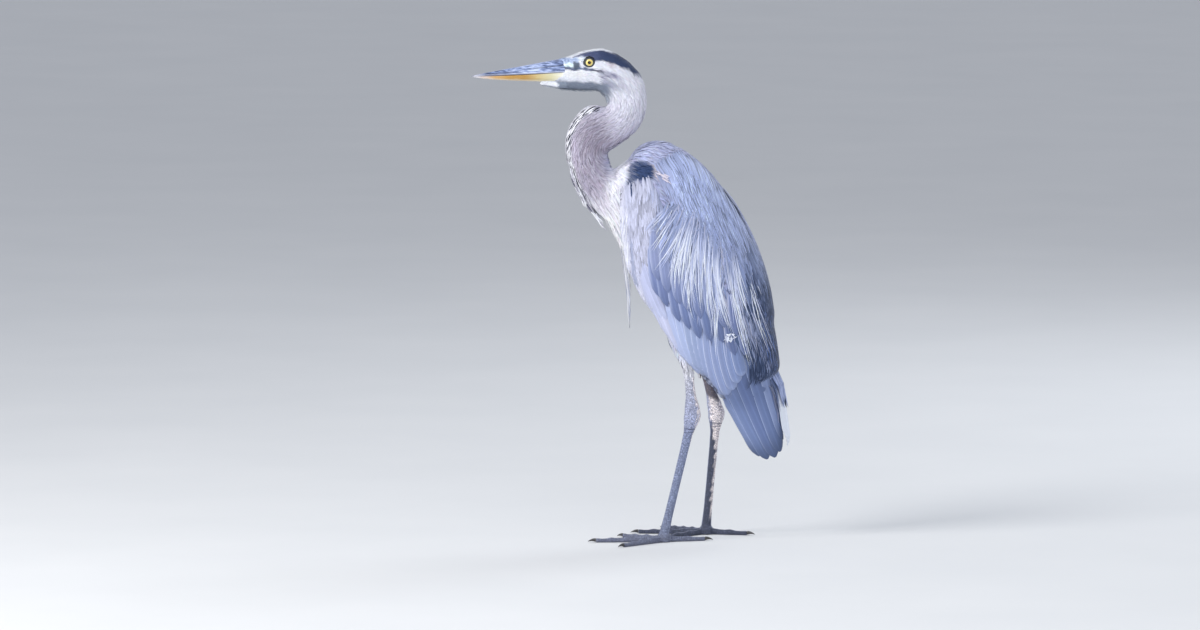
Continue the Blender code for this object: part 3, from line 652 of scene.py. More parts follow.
def scatter(piece, wanted, spacing_of, seed):
    """Roots spread evenly over a skin: one in each small cell, as large as the feathers there need."""
    rng = np.random.default_rng(seed)
    spots, _ = corners_of(piece)
    rings = np.array([tuple(face.vertices)[:3] for face in piece.data.polygons])
    a, b, c = spots[rings[:, 0]], spots[rings[:, 1]], spots[rings[:, 2]]
    size = np.linalg.norm(np.cross(b - a, c - a), axis=1)
    chosen = rng.choice(len(rings), wanted, p=size / size.sum())
    u, v = rng.random(wanted)[:, None], rng.random(wanted)[:, None]
    roots = a[chosen] + u * (b - a)[chosen] + v * (c - a)[chosen]
    spacing = spacing_of(roots)
    classes = np.round(np.log(spacing / 0.001) / 0.18)
    cell = 0.001 * np.exp(0.18 * classes)
    keys = np.floor(roots / cell[:, None]).astype(np.int64) + 10 ** 4
    keys = ((classes.astype(np.int64) * 10 ** 5 + keys[:, 0]) * 10 ** 5 + keys[:, 1]) * 10 ** 5 + keys[:, 2]
    _, first = np.unique(keys, return_index=True)
    return roots[first]


def on_skin(tree, points):
    """The nearest places on a skin and the way out of it there."""
    spots, ways = np.empty_like(points), np.empty_like(points)
    for index, point in enumerate(points.tolist()):
        spot, way, _, _ = tree.find_nearest(point)
        spots[index], ways[index] = spot, way
    return spots, ways


def unit(ways):
    return ways / np.maximum(np.linalg.norm(ways, axis=-1, keepdims=True), 1e-9)


def lay_on_skin(tree, roots, length, half_width, lift_root, lift_tip, kind, rows, seed, stray=0.12,
                way_of=None):
    """Vanes that start at the roots and run along the skin with the lie of the coat, tips raised."""
    rng = np.random.default_rng(seed)
    count = len(roots)
    sway = rng.normal(0, stray, count)
    bend = rng.normal(0, stray * 0.6, count)
    spots = np.zeros((count, rows, 3, 3))
    here, up = on_skin(tree, roots)
    for row in range(rows):
        share = row / (rows - 1)
        way = way_of(here) if way_of else lie_at(here)[0]
        way = unit(way - (way * up).sum(1)[:, None] * up)
        side = np.cross(up, way)
        turned = unit(way + side * (sway + bend * share)[:, None])
        across = np.cross(up, turned)
        wide = half_width * vane_width(kind, share)
        lift = lift_root + (lift_tip - lift_root) * share ** 0.8
        for column, hand in enumerate((-1, 0, 1)):
            drop = abs(hand) * VANE_DROP * wide
            spots[:, row, column] = here + across * (hand * wide)[:, None] + up * (lift - drop)[:, None]
        if row < rows - 1:
            here, up = on_skin(tree, here + turned * (length / (rows - 1))[:, None])
    return spots


def picked(rng, count, tones, shares):
    return np.array(tones)[rng.choice(len(tones), count, p=shares)]


TIP_PALER = 0.06


def tinted(spots, roots, colour_of, seed, spread, share_root):
    """Each vane's paint: the marking at its root and under each corner, and a little of its own."""
    rng = np.random.default_rng(seed)
    count, rows, columns = spots.shape[:3]
    own = colour_of(roots)[:, None, None]
    under = colour_of(spots.reshape(-1, 3)).reshape(count, rows, columns, 3)
    paint = share_root * own + (1 - share_root) * under
    paint = paint * (1 + rng.normal(0, spread, (count, 1, 1, 1)) + rng.normal(0, spread * 0.25,
                         (count, 1, 1, 3)))
    paint = paint * (1 - TIP_PALER * 1.2 + TIP_PALER * 2.2 * np.linspace(0, 1, rows)[None, :, None, None])
    return np.clip(paint, 0.004, 1)


def bake_place(points):
    _, reach, turn = lie_at(points)
    return columns_of(0.01 + 0.98 * (reach + 0.05) / 0.9, 0.5 + 0.98 * turn)


REACH = (0, 0.02, 0.05, 0.09, 0.13, 0.2, 0.3, 0.34, 0.38, 0.45, 0.8)
LENGTH = (0.0038, 0.0046, 0.0068, 0.011, 0.015, 0.0185, 0.021, 0.025, 0.029, 0.03, 0.03)
HALF_WIDTH = (0.00045, 0.0005, 0.00062, 0.0008, 0.00092, 0.001, 0.0012, 0.0015, 0.002, 0.0026, 0.0029)
OVERLAP = 4.2


def small_size(points):
    _, reach, _ = lie_at(points)
    length, half_width = np.interp(reach, REACH, LENGTH), np.interp(reach, REACH, HALF_WIDTH)
    thigh = fall(0.3, 0.33, points[:, 2])
    return length * (1 - 0.5 * thigh), half_width * (1 - 0.4 * thigh)


def small_spacing(points):
    length, half_width = small_size(points)
    return np.sqrt(length * 2 * half_width / OVERLAP) * 1.15


soft_vane = vane_finish("soft_feather", 0.18, 0.00025, 0.62)
roots = scatter(skin, 300000, small_spacing, 21)
wanted = (ahead_of_rim(roots) < 0.35) | (roots[:, 1] > -0.103)
wanted &= (bare_skin(roots) < 0.45) & (beside_eye(roots) > 0.0082) & (roots[:, 1] > BILL_CUT + 0.002)
roots = roots[wanted]
root_reach = lie_at(roots)[1]
SMALL_ROWS = 5
for name, low, high, seed in (("face_feathers", -1, 0.085, 31), ("neck_feathers", 0.085, 0.345, 32),
                              ("body_feathers", 0.345, 2, 33)):
    mine = roots[(root_reach >= low) & (root_reach < high)]
    length, half_width = small_size(mine)
    rng = np.random.default_rng(seed)
    length = length * rng.uniform(0.8, 1.2, len(mine))
    half_width = half_width * rng.uniform(0.85, 1.15, len(mine))
    depth = coat_depth(mine)
    tip_lift = depth * rng.uniform(0.65, 1.05, len(mine))
    laid = lay_on_skin(skin_tree, mine, length, half_width, depth * 0.12, tip_lift, "lance", SMALL_ROWS,
                       seed)
    clear = np.hypot(laid[..., 1] - EYE_BACK[1], laid[..., 2] - EYE_BACK[2]).min(axis=(1, 2)) > 0.0072
    laid, mine, length = laid[clear], mine[clear], length[clear]
    near_patch = in_patch(mine[:, 1] * 1000, mine[:, 2] * 1000, (12, 585), (44, 40))
    hang(name, laid, tinted(laid, mine, markings, seed, spread=0.11 if "body" in name else 0.07,
                            share_root=0.62 - 0.5 * near_patch[:, None, None, None]), bake_place(mine),
         length, soft_vane, "neck_down" if "neck" in name else "white_down")


# The flecks and fringes: rows of black and white feathers down each side of the foreneck, the chin's ragged
# lower edge, grey-blue and dark as painted shade under the bill, and the white tuft at its front. They lie
# over the small feathers with their tips free.
FORENECK = ((-0.05, 0.6945), (-0.062, 0.693), (-0.075, 0.685), (-0.087, 0.673), (-0.097, 0.657),
            (-0.104, 0.64), (-0.1065, 0.622), (-0.105, 0.604), (-0.102, 0.588), (-0.097, 0.572),
            (-0.089, 0.556))


def along_path(path, shares):
    path = np.array(path)
    run = np.concatenate([[0], np.cumsum(np.linalg.norm(np.diff(path, axis=0), axis=1))])
    return read_table(shares * run[-1], run, path)


rng = np.random.default_rng(35)
fleck_parts = []
for black, side, count, length, half_width, phase in ((True, 0.0128, 11, 0.0165, 0.0016, 0.0),
        (True, 0.0085, 10, 0.015, 0.0014, 0.5), (False, 0.015, 15, 0.018, 0.0015, 0.25),
        (False, 0.0106, 16, 0.016, 0.0013, 0.7), (True, 0.0165, 10, 0.011, 0.0008, 0.1)):
    shares = (np.arange(count) + phase) / count
    for hand in (1, -1):
        middle = along_path(FORENECK, np.clip(shares + rng.normal(0, 0.008, count), 0, 1))
        inward = np.array((-0.0403, 0.64)) - middle
        middle = middle + inward / np.linalg.norm(inward, axis=1)[:, None] * (side * 0.45)
        places, _ = on_skin(skin_tree, columns_of(hand * (side + rng.normal(0, 0.0007, count)),
                                middle[:, 0], middle[:, 1]))
        laid = lay_on_skin(skin_tree, places, length * rng.uniform(0.8, 1.2, count),
                           half_width * rng.uniform(0.8, 1.2, count), np.full(count, 0.0012),
                           np.full(count, 0.0027), "lance", 6, 36 + hand, 0.06)
        tone = np.array((0.016, 0.018, 0.042) if black else (0.9, 0.9, 0.96)) * np.ones((count, 6, 3, 1))
        fleck_parts.append((laid, tone * rng.uniform(0.85, 1.12, (count, 1, 1, 1)), bake_place(places),
                            np.full(count, length)))
# the chin's ragged lower edge, grey-blue and dark as painted shade, and the white tuft at its front
for count, front, rear, spread, lengths, widths, lifts, tones in ((190, -0.118, -0.03, 0.006,
            (0.006, 0.0095), (0.0006, 0.001), (0.0016, 0.0046), ((0.48, 0.53, 0.62), (0.22, 0.27, 0.35))),
        (120, -0.149, -0.122, 0.0042, (0.006, 0.01), (0.0005, 0.0009), (0.0008, 0.003),
         ((0.88, 0.91, 0.97), (0.66, 0.71, 0.8)))):
    chin_y, chin_side = rng.uniform(front, rear, count), rng.normal(0, spread, count)
    places, _ = on_skin(skin_tree, columns_of(chin_side, chin_y, np.full(count, 0.7)))
    laid = lay_on_skin(skin_tree, places, rng.uniform(*lengths, count), rng.uniform(*widths, count),
                       np.full(count, 0.0002), rng.uniform(*lifts, count), "lance", 6, 38, 0.24)
    tone = np.where((rng.random(count) < 0.6)[:, None], *tones)[:, None, None] * np.ones((1, 6, 3, 1))
    fleck_parts.append((laid, tone, bake_place(places), np.full(count, 0.008)))
hang("neck_flecks", *together(fleck_parts), soft_vane, "neck_down")


# The wing sheet: the folded wing's outer surface as a cloth with two measures, down the body and round
# from the middle of the back. Feathers are laid out on its left half, and turned over for the right wing.
DOWN_STEP, ROUND_STEP = 0.004, 0.0025
SHEET_DOWN = np.arange(-0.012, 0.5225, DOWN_STEP)
SHEET_ROUND = np.arange(0, 0.2625, ROUND_STEP)
RIM_OVERHANG = 0.0035


def wing_sheet():
    cover = merged_copy("wing_cover", ["scapulars", "wing_coverts_left", "wing_secondaries_left",
                            "wing_primaries_left"])
    tree = surface_of(cover)
    bpy.data.objects.remove(cover)
    turns = np.radians(np.arange(0, 181, 2.5))
    middle = np.interp(SHEET_DOWN, (0, 0.3, 0.4, 0.51), (0.022, 0.026, 0.018, 0.012))
    reach = np.full((len(SHEET_DOWN), len(turns)), np.nan)
    for row, (down, out) in enumerate(zip(SHEET_DOWN, middle)):
        centre = from_body(np.float64(down), np.float64(out))
        for column, turn in enumerate(turns):
            way = math.sin(turn) * np.array((1.0, 0, 0)) + math.cos(turn) * OUT_OF_BACK
            spot = tree.ray_cast(Vector(centre + 0.25 * way), Vector(-way), 0.25)[0]
            if spot is not None:
                reach[row, column] = np.linalg.norm(np.array(spot) - centre)
    for column in range(len(turns)):
        known = np.isfinite(reach[:, column])
        if known.sum() > 8 and (known[:3].sum() == 0):
            first = np.argmax(known)
            reach[max(0, first - 8):first, column] = reach[first, column]
    last_known = np.full(len(SHEET_DOWN), len(turns) - 1)
    for row in range(len(SHEET_DOWN)):
        known = np.isfinite(reach[row])
        if known.any():
            last_known[row] = np.nonzero(known)[0][-1]
            reach[row] = np.interp(turns, turns[known], reach[row][known])
    for column in range(len(turns)):
        known = np.isfinite(reach[:, column])
        reach[:, column] = np.interp(SHEET_DOWN, SHEET_DOWN[known], reach[known, column])
    for _ in range(6):
        wide = np.pad(reach, ((1, 1), (1, 1)), "edge")
        beside = wide[:-2, 1:-1] + wide[2:, 1:-1] + wide[1:-1, :-2] + wide[1:-1, 2:]
        reach = (beside + 2 * wide[1:-1, 1:-1]) / 6
    side, out = reach * np.sin(turns), middle[:, None] + reach * np.cos(turns)
    path = np.cumsum(np.hypot(np.diff(side), np.diff(out)), axis=1)
    path = np.concatenate([np.zeros((len(reach), 1)), path], 1)
    rim = path[np.arange(len(path)), last_known] + RIM_OVERHANG
    sides = np.stack([np.interp(SHEET_ROUND, p, x) for p, x in zip(path, side)])
    outs = np.stack([np.interp(SHEET_ROUND, p, x) for p, x in zip(path, out)])
    rim = np.convolve(np.pad(rim, 3, "edge"), np.ones(7) / 7, "valid")
    return from_body(np.broadcast_to(SHEET_DOWN[:, None], sides.shape), outs, sides), outs, rim


sheet_spots, sheet_outs, sheet_rim = wing_sheet()
sheet_ways = unit(np.cross(np.gradient(sheet_spots, axis=1), np.gradient(sheet_spots, axis=0)))
outward = sheet_spots - from_body(SHEET_DOWN, 0.02)[:, None]
sheet_ways *= np.sign((sheet_ways * outward).sum(-1, keepdims=True))


def on_sheet(down, around):
    """Place in the room, and way out, for measures on the wing sheet."""
    row = np.clip((down - SHEET_DOWN[0]) / DOWN_STEP, 0, len(SHEET_DOWN) - 1.001)
    column = np.clip(around / ROUND_STEP, 0, len(SHEET_ROUND) - 1.001)
    i, j = row.astype(int), column.astype(int)
    u, v = (row - i)[..., None], (column - j)[..., None]

    def read(table):
        return (table[i, j] * (1 - u) * (1 - v) + table[i + 1, j] * u * (1 - v)
                + table[i, j + 1] * (1 - u) * v + table[i + 1, j + 1] * u * v)
    return read(sheet_spots), unit(read(sheet_ways))


sheet_falls = np.minimum.accumulate(sheet_outs, axis=1)


def around_for(down, out):
    """Measure round the sheet of a place given by its distance out through the back."""
    down, out = np.atleast_1d(down).astype(float), np.atleast_1d(out).astype(float)
    rows = np.clip((down - SHEET_DOWN[0]) / DOWN_STEP, 0, len(SHEET_DOWN) - 1.001)
    found = np.empty(len(down))
    for index, (row, place) in enumerate(zip(rows, out)):
        low = int(row)
        falls = sheet_falls[low] + (sheet_falls[low + 1] - sheet_falls[low]) * (row - low)
        found[index] = min(np.interp(-place, -falls, SHEET_ROUND), sheet_rim[low])
    return found


def lay_on_sheet(base, tip, half_width, kind, rows, lift_root, lift_tip, bow=0.0, tilt=0.0, camber=0.0,
                 columns=(-1, 0, 1), narrow=1.0, wave=0.0, seed=0, side_on=True, crowd=1.0, measured=False):
    """Vanes between base and tip, both (down, out), straight from the side, or round the sheet if not
    side_on. If measured, the places are already (down, minus the measure round the sheet). Column -1 is the
    edge toward the belly, and bow bends a vane that way. crowd draws rows toward the tip."""
    rng = np.random.default_rng(seed)
    start, end = np.atleast_2d(base).astype(float), np.atleast_2d(tip).astype(float)
    if not side_on and not measured:
        start = columns_of(start[:, 0], -around_for(start[:, 0], start[:, 1]))
        end = columns_of(end[:, 0], -around_for(end[:, 0], end[:, 1]))
    run = end - start
    length = np.linalg.norm(run, axis=1)
    share = 1 - (1 - np.linspace(0, 1, rows)) ** crowd
    cross = columns_of(run[:, 1], -run[:, 0]) / length[:, None]
    full = [np.broadcast_to(x, (len(run),)).astype(float) for x in (half_width, lift_root, lift_tip, bow,
                tilt, camber)]
    half_width, lift_root, lift_tip, bow, tilt, camber = full
    curve = bow[:, None] * 4 * share * (1 - share)
    if wave:
        swing, start_at = rng.uniform(3, 7, (len(run), 1)), rng.uniform(0, 6, (len(run), 1))
        curve = curve + rng.normal(0, wave, (len(run), 1)) * np.sin(share * swing + start_at) * share
    aside = cross[:, None] * (curve * length[:, None])[..., None]
    line = start[:, None] + run[:, None] * share[None, :, None] + aside
    columns = np.array(columns, float)
    shape = vane_width(kind, share)[None, :, None]
    offset = columns[None, None] * half_width[:, None, None] * shape * np.where(columns < 0, narrow, 1.0)
    flow = unit(np.gradient(line, axis=1))
    across = np.stack([-flow[..., 1], flow[..., 0]], -1)
    places = line[:, :, None] + across[:, :, None] * offset[..., None]
    if side_on:
        around = around_for(places[..., 0].ravel(), places[..., 1].ravel()).reshape(offset.shape)
    else:
        around = -places[..., 1]
    spots, ways = on_sheet(places[..., 0], around)
    lift = (lift_root[:, None] + (lift_tip - lift_root)[:, None] * share[None] ** 0.8)[..., None]
    lift = lift - tilt[:, None, None] * columns * shape + camber[:, None, None] * (1 - columns ** 2) * shape
    return spots + ways * lift[..., None], length


def both_wings(spots, colours, bake_spots, lengths):
    """Adds the right wing's vanes: the left's in a mirror, their columns turned to face outwards."""
    other = spots[:, :, ::-1] * np.array((-1, 1, 1))
    flipped = columns_of(1 - bake_spots[:, 0], bake_spots[:, 1])
    return (np.concatenate([spots, other]), np.concatenate([colours, colours[:, :, ::-1]]),
            np.concatenate([bake_spots, flipped]), np.concatenate([lengths, lengths]))


def two_wings(left, right):
    """The left wing's vanes with the right wing's, laid out on the left and turned over here."""
    spots, colours, bake_spots, lengths = both_wings(*right)
    half = len(lengths) // 2
    turned = (spots[half:], colours[half:], bake_spots[half:], lengths[half:])
    return together((left, turned))


def sheet_bake(base):
    """Root places on the sheet as a map: the left wing takes one half, and its mirror the other."""
    around = around_for(base[:, 0], base[:, 1])
    return columns_of(0.02 + around * 1.7, 0.02 + (base[:, 0] + 0.02) * 1.7)
# The wing beds: the stiff under-layer of each folded wing, in the tones of the feathers over it. Every
# wing feather is laid outside it, and it shows only between them.
BED_DEPTH, BED_DRAW = 0.0034, 0.985
BED_MIDDLE = from_body(np.float64(0.3), np.float64(0.0))
WING_PARTS = ("wing_coverts", "wing_secondaries", "wing_primaries")
SIDES = (("left", 1), ("right", -1))
LEAD_DOWN = (0, 0.081, 0.118, 0.16, 0.195, 0.228, 0.27, 0.323, 0.374, 0.385)
LEAD_OUT = (-0.02, -0.055, -0.064, -0.073, -0.066, -0.065, -0.061, -0.045, -0.033, -0.026)
SILVER, PALE, MIST = (0.8, 0.84, 0.99), (0.53, 0.545, 0.7), (0.33, 0.39, 0.62)
# the navy here is painted shade, for the side of the back turned away from the light
SLATE, BACK_SHADE_NAVY = (0.17, 0.22, 0.4), (0.03, 0.05, 0.12)


def wing_tone(down, out, wave):
    """Tone of the soft feathers over the wing: pale in front, mid blue, slate low down, navy behind as
    painted shade, and a painted shadow line in the gap before the breast.
    """
    pale_line = np.interp(down, (0.03, 0.1, 0.16, 0.25), (0.02, -0.018, -0.04, -0.05))
    front = fall(0.002, 0.03, out - pale_line + 0.01 * wave)
    low = step(0.17, 0.27, down + 0.03 * wave) * (1 - front)
    patch_tail = near_line(down * 1000, out * 1000, ((-5, 8), (8, 0), (21, -8)), 4.0, 2.0)
    from_edge = out - np.interp(down, LEAD_DOWN, LEAD_OUT) + 0.04 * np.maximum(0, down - 0.12)
    edge = fall(0.006, 0.016, from_edge)
    # painted shadow: a dark line in the gap between the breast and the wing's front edge
    slit = near_line(down * 1000, out * 1000, ((98, -44), (120, -53), (140, -60), (156, -65)), 1.4, 2.0)
    tone = np.array(MIST) * np.ones((len(down), 1))
    mark = near_line(down * 1000, out * 1000, ((10, 43), (24, 45), (38, 49)), 5, 3)
    for share, other in ((0.65 * low, SLATE), (front, PALE), (mark, (0.84, 0.77, 0.83)),
                         (0.7 * edge, (0.64, 0.64, 0.76)), (0.7 * slit, (0.26, 0.3, 0.46)),
                         (patch_tail, SHOULDER_NAVY), (shaded_back(down, out + 0.006 * wave), BACK_SHADE_NAVY)):
        tone = tone + (np.array(other) - tone) * np.clip(share, 0, 1)[:, None]
    return tone


def wing_bed(hand, sign):
    parts = [part + "_" + hand for part in WING_PARTS]
    bed = merged_copy("wing_bed_" + hand, parts)
    shape_with(bed, "REMESH", mode="VOXEL", voxel_size=0.002)
    shape_with(bed, "SMOOTH", factor=0.5, iterations=3)
    spots, ways = corners_of(bed)
    down, out = body_place(spots)
    sunk = 0.009 * step(0.31, 0.375, down) * fall(0.385, 0.41, down)
    spots[:, 0] -= sign * (BED_DEPTH + sunk)
    spots[:, 1:] = BED_MIDDLE[1:] + BED_DRAW * (spots[:, 1:] - BED_MIDDLE[1:])
    spots -= (0.0072 * step(0.02, 0.1, out))[:, None] * OUT_OF_BACK
    move_corners(bed, spots)
    shade_smooth(bed)
    tone = wing_tone(down, out, ripple(spots, 0.02, 71)) * 0.7
    inner = (ways[:, 0] * sign < -0.2)[:, None]
    paint_corners(bed.data, np.where(inner, np.array((0.2, 0.24, 0.36)), tone))
    bed.data.materials.append(bed_finish)
    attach(bed, "root")
    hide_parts(*parts)
    return bed


under = Finish("under_vane", {"Roughness": 0.6, "Sheen Weight": 0.1})
spot = under.axes()
ribs = under.math("SINE", spot.beside(1) * 900 + spot.beside(2) * 430)
paint = under.stored("Coat")
bed_finish = under.show(under.mixed(1, paint, 0.72 + ribs * 0.1 + under.noise(160) * 0.5, "MULTIPLY"),
                        ribs * 0.4 + under.noise(500), 0.0004, 0.5)
beds = [wing_bed(hand, sign) for hand, sign in SIDES]


# The underwing: soft feathers over the beds' inner faces and front edges, pale in front and grey inside.
# They start on the bed and point down the wing.
bed_parts = []
for bed, sign, seed in zip(beds, (1, -1), (121, 122)):
    rng = np.random.default_rng(seed)
    bed_tree = surface_of(bed)
    roots = scatter(bed, 60000, lambda points: np.full(len(points), 0.0044), seed)
    roots, ways = on_skin(bed_tree, roots)
    down, out = body_place(roots)
    inward = -ways[:, 0] * sign
    seen = (down > 0.05) & (down < 0.5) & (out < 0.06) & ((inward > 0.15) | (ways @ OUT_OF_BACK < -0.45))
    roots, down, out, inward = roots[seen], down[seen], out[seen], inward[seen]
    length = rng.uniform(0.02, 0.032, len(roots)) * (1 - 0.4 * step(0.4, 0.49, down))
    laid = lay_on_skin(bed_tree, roots, length, rng.uniform(0.002, 0.003, len(roots)),
                       np.full(len(roots), 0.0003), rng.uniform(0.001, 0.0022, len(roots)), "lance", 6,
                       seed, 0.16, lambda points: np.tile(DOWN_BODY - 0.1 * OUT_OF_BACK, (len(points), 1)))
    tone = wing_tone(down, out, ripple(roots, 0.02, 71)) * 1.05
    grey = step(0.0, 0.5, inward)[:, None] * 0.9
    tone = tone * (1 - grey) + np.array((0.42, 0.46, 0.6)) * grey
    tone *= rng.choice((1.18, 1.0, 0.84), (len(roots), 1), p=(0.3, 0.45, 0.25))
    bed_parts.append((laid, tone[:, None, None] * np.linspace(0.86, 1.1, 6)[None, :, None, None]
                      * np.ones((1, 1, 3, 1)), columns_of(0.25 + 0.5 * (sign < 0) + 2 * (out - 0.02),
                          0.05 + 1.8 * down), length))
under_parts = together(bed_parts)
under_parts[1] = np.clip(under_parts[1], 0.004, 1)
hang("underwing_feathers", *under_parts, soft_vane, "blue_grey_feather")


# The flight feathers: six broad primaries at the wing's end, secondaries that meet at its lower corner,
# dark pointed coverts over their roots and tertials by the back, painted navy as shade. Each is a stiff
# vane with a shaft, just under half a millimetre thick, overlapped like slates with its front edge
# uppermost.
FLIGHT_COLUMNS = (-1, -0.84, -0.45, 0, 0.45, 0.84, 1)
FLIGHT_ROWS, FLIGHT_CROWD = 16, 1.8
VANE_THICK = 0.00045


def spread(count, *stops):
    """count rows of numbers, spread evenly along a list of stops: places (down, out) or colours."""
    stops = np.array(stops, float)
    share = np.linspace(0, len(stops) - 1, count)
    return read_table(share, np.arange(len(stops)), stops)


def flight_paint(tones, edge_tone, tip_tone, seed, tip_from, rear, edge_in=0.8, root_tone=None):
    """Paint of big vanes: their tones, a pale front edge, a darker rear half, and toned tips or roots."""
    rng = np.random.default_rng(seed)
    share = (1 - (1 - np.linspace(0, 1, FLIGHT_ROWS)) ** FLIGHT_CROWD)[None, :, None, None]
    columns = np.array(FLIGHT_COLUMNS)[None, None, :, None]
    tone = tones[:, None, None] * np.ones((1, FLIGHT_ROWS, len(FLIGHT_COLUMNS), 1))
    tone = tone * (1 + rng.normal(0, 0.05, (len(tones), 1, 1, 1)))
    tone = tone * (1 - (1 - rear) * step(-0.1, 0.9, columns))
    edge = fall(-0.97, -edge_in, columns) + 0.6 * step(edge_in, 0.97, columns)
    edge = 0.85 * edge * step(0, 0.15, share)
    tone = tone * (1 - edge) + np.array(edge_tone) * edge
    if root_tone:
        tone = tone + (np.array(root_tone) - tone) * fall(0.1, 0.55, share)
    end = 0.85 * step(tip_from, 1, share)
    return np.clip(tone * (1 - end) + np.array(tip_tone) * end, 0.004, 1)


def thicken(piece, thickness):
    shape_with(piece, "SOLIDIFY", thickness=thickness, offset=-1, use_even_offset=False)


flight_vane = vane_finish("flight_feather", 0.14, 0.0003, 0.5, 0.07)
flight_parts = []


def add_flight(kind, base, tip, half_width, lifts, paint, **more):
    spots, lengths = lay_on_sheet(base, tip, half_width, kind, FLIGHT_ROWS, *lifts, columns=FLIGHT_COLUMNS,
        crowd=FLIGHT_CROWD, **more)
    flight_parts.append((spots, paint, sheet_bake(base), lengths))


# primaries, the outermost first, then the inner ones that fold over toward the tail
primary_base = np.array(((0.3, -0.016), (0.3, 0.0), (0.3, 0.024), (0.305, 0.05), (0.31, 0.07),
                         (0.315, 0.084)))
primary_tip = np.array(((0.497, -0.0105), (0.507, -0.001), (0.5095, 0.0115), (0.505, 0.0225),
                        (0.491, 0.037), (0.466, 0.055)))
primary_tone = spread(6, (0.215, 0.275, 0.48), (0.16, 0.215, 0.4), (0.13, 0.18, 0.36), (0.13, 0.18, 0.35),
                      (0.22, 0.28, 0.48), (0.24, 0.31, 0.52))
add_flight("quill", primary_base, primary_tip, (0.0115, 0.0145, 0.015, 0.014, 0.0125, 0.011),
           (-0.0024, -0.0004), flight_paint(primary_tone, (0.42, 0.5, 0.76), (0.065, 0.095, 0.19), 41,
               0.76, 0.8, 0.8), tilt=0.0006, camber=0.0006, narrow=0.7, bow=0.018)
# secondaries, whose tips make the wing's lower edge and its corner
second_base = spread(12, (0.18, -0.052), (0.21, -0.03), (0.236, -0.008), (0.262, 0.004), (0.28, 0.022),
                     (0.285, 0.046))
second_tip = spread(12, (0.318, -0.0505), (0.352, -0.04), (0.374, -0.0335), (0.388, -0.027),
                    (0.382, -0.003), (0.366, 0.022))
second_tone = spread(12, (0.47, 0.51, 0.73), (0.4, 0.46, 0.68), (0.33, 0.4, 0.62), (0.29, 0.35, 0.57),
                     (0.25, 0.31, 0.53), (0.19, 0.25, 0.45))
add_flight("quill", second_base, second_tip, 0.0115, (-0.0012, 0.0004),
           flight_paint(second_tone, (0.7, 0.76, 0.97), (0.3, 0.37, 0.6), 42, 0.88, 0.84, 0.8),
           tilt=0.0008, camber=0.0007, narrow=0.75, bow=0.045)
# tertials, painted navy as the back's shade, over the roots of the inner primaries
third_base = spread(8, (0.225, 0.04), (0.21, 0.065), (0.2, 0.092), (0.2, 0.116))
third_tip = spread(8, (0.356, 0.044), (0.377, 0.054), (0.385, 0.066), (0.383, 0.078), (0.368, 0.092))
tertial_shade_tone = spread(8, (0.07, 0.11, 0.23), (0.035, 0.06, 0.135), (0.03, 0.05, 0.115))
add_flight("blade", third_base, third_tip, 0.01, (0.0002, 0.0012),
           flight_paint(tertial_shade_tone, (0.22, 0.28, 0.47), (0.012, 0.026, 0.07), 43, 0.6, 0.85, 0.86,
                        (0.27, 0.33, 0.55)), tilt=0.0007, camber=0.0008, narrow=0.85)
# broad pale coverts along the wing's lower front edge
pale_base = spread(7, (0.135, -0.04), (0.15, -0.05), (0.175, -0.056), (0.185, -0.046))
pale_tip = spread(7, (0.232, -0.046), (0.228, -0.058), (0.262, -0.058), (0.284, -0.052))
add_flight("blade", pale_base, pale_tip, 0.0075, (-0.0004, 0.0009),
           flight_paint(spread(7, (0.46, 0.49, 0.69), (0.56, 0.58, 0.77)), (0.68, 0.71, 0.9),
                        (0.52, 0.56, 0.77), 46, 0.7, 0.88, 0.88), tilt=0.0006, camber=0.0008, narrow=0.8,
           bow=0.02)
# greater coverts, with dark pointed ends: a lower row, then a shorter one over it
covert_tip = np.array(((0.196, -0.04), (0.214, -0.036), (0.244, -0.029), (0.262, -0.02), (0.282, -0.012),
                       (0.294, 0.002), (0.304, 0.018), (0.331, 0.026), (0.344, 0.042)))
covert_base = covert_tip + np.array((-0.082, 0.024))
add_flight("point", covert_base, covert_tip, 0.0096, (0.0002, 0.0014),
           flight_paint(spread(9, (0.17, 0.21, 0.4), (0.14, 0.19, 0.37), (0.13, 0.17, 0.34)),
                        (0.52, 0.58, 0.82), (0.12, 0.16, 0.32), 44, 0.5, 0.9, 0.7), tilt=0.0006,
           camber=0.0006, narrow=0.9, bow=0.03)
over_tip = (covert_tip[1:] + covert_tip[:-1]) / 2 + np.array((-0.034, 0.008))
add_flight("point", over_tip + np.array((-0.074, 0.026)), over_tip, 0.0088, (0.001, 0.0022),
           flight_paint(spread(8, (0.26, 0.3, 0.5), (0.18, 0.23, 0.43), (0.16, 0.2, 0.39)),
                        (0.54, 0.6, 0.83), (0.15, 0.19, 0.36), 45, 0.55, 0.9, 0.7), tilt=0.0006,
           camber=0.0006, narrow=0.9, bow=0.03)
flight = hang("flight_feathers", *both_wings(*together(flight_parts)), flight_vane, "slate_feather")
thicken(flight, VANE_THICK)


# The small coverts: soft narrow feathers that cover the wing's front part, pale along its edge, and run
# in under the plumes. They hide the roots of the larger coverts.
thread_vane = vane_finish("plume", 0.25, 0.0002, 0.45, 0.05)
PLUME_ROWS = 10
ROOT_BLUE, ROOT_SHADE = np.array((0.28, 0.34, 0.58)), 0.12


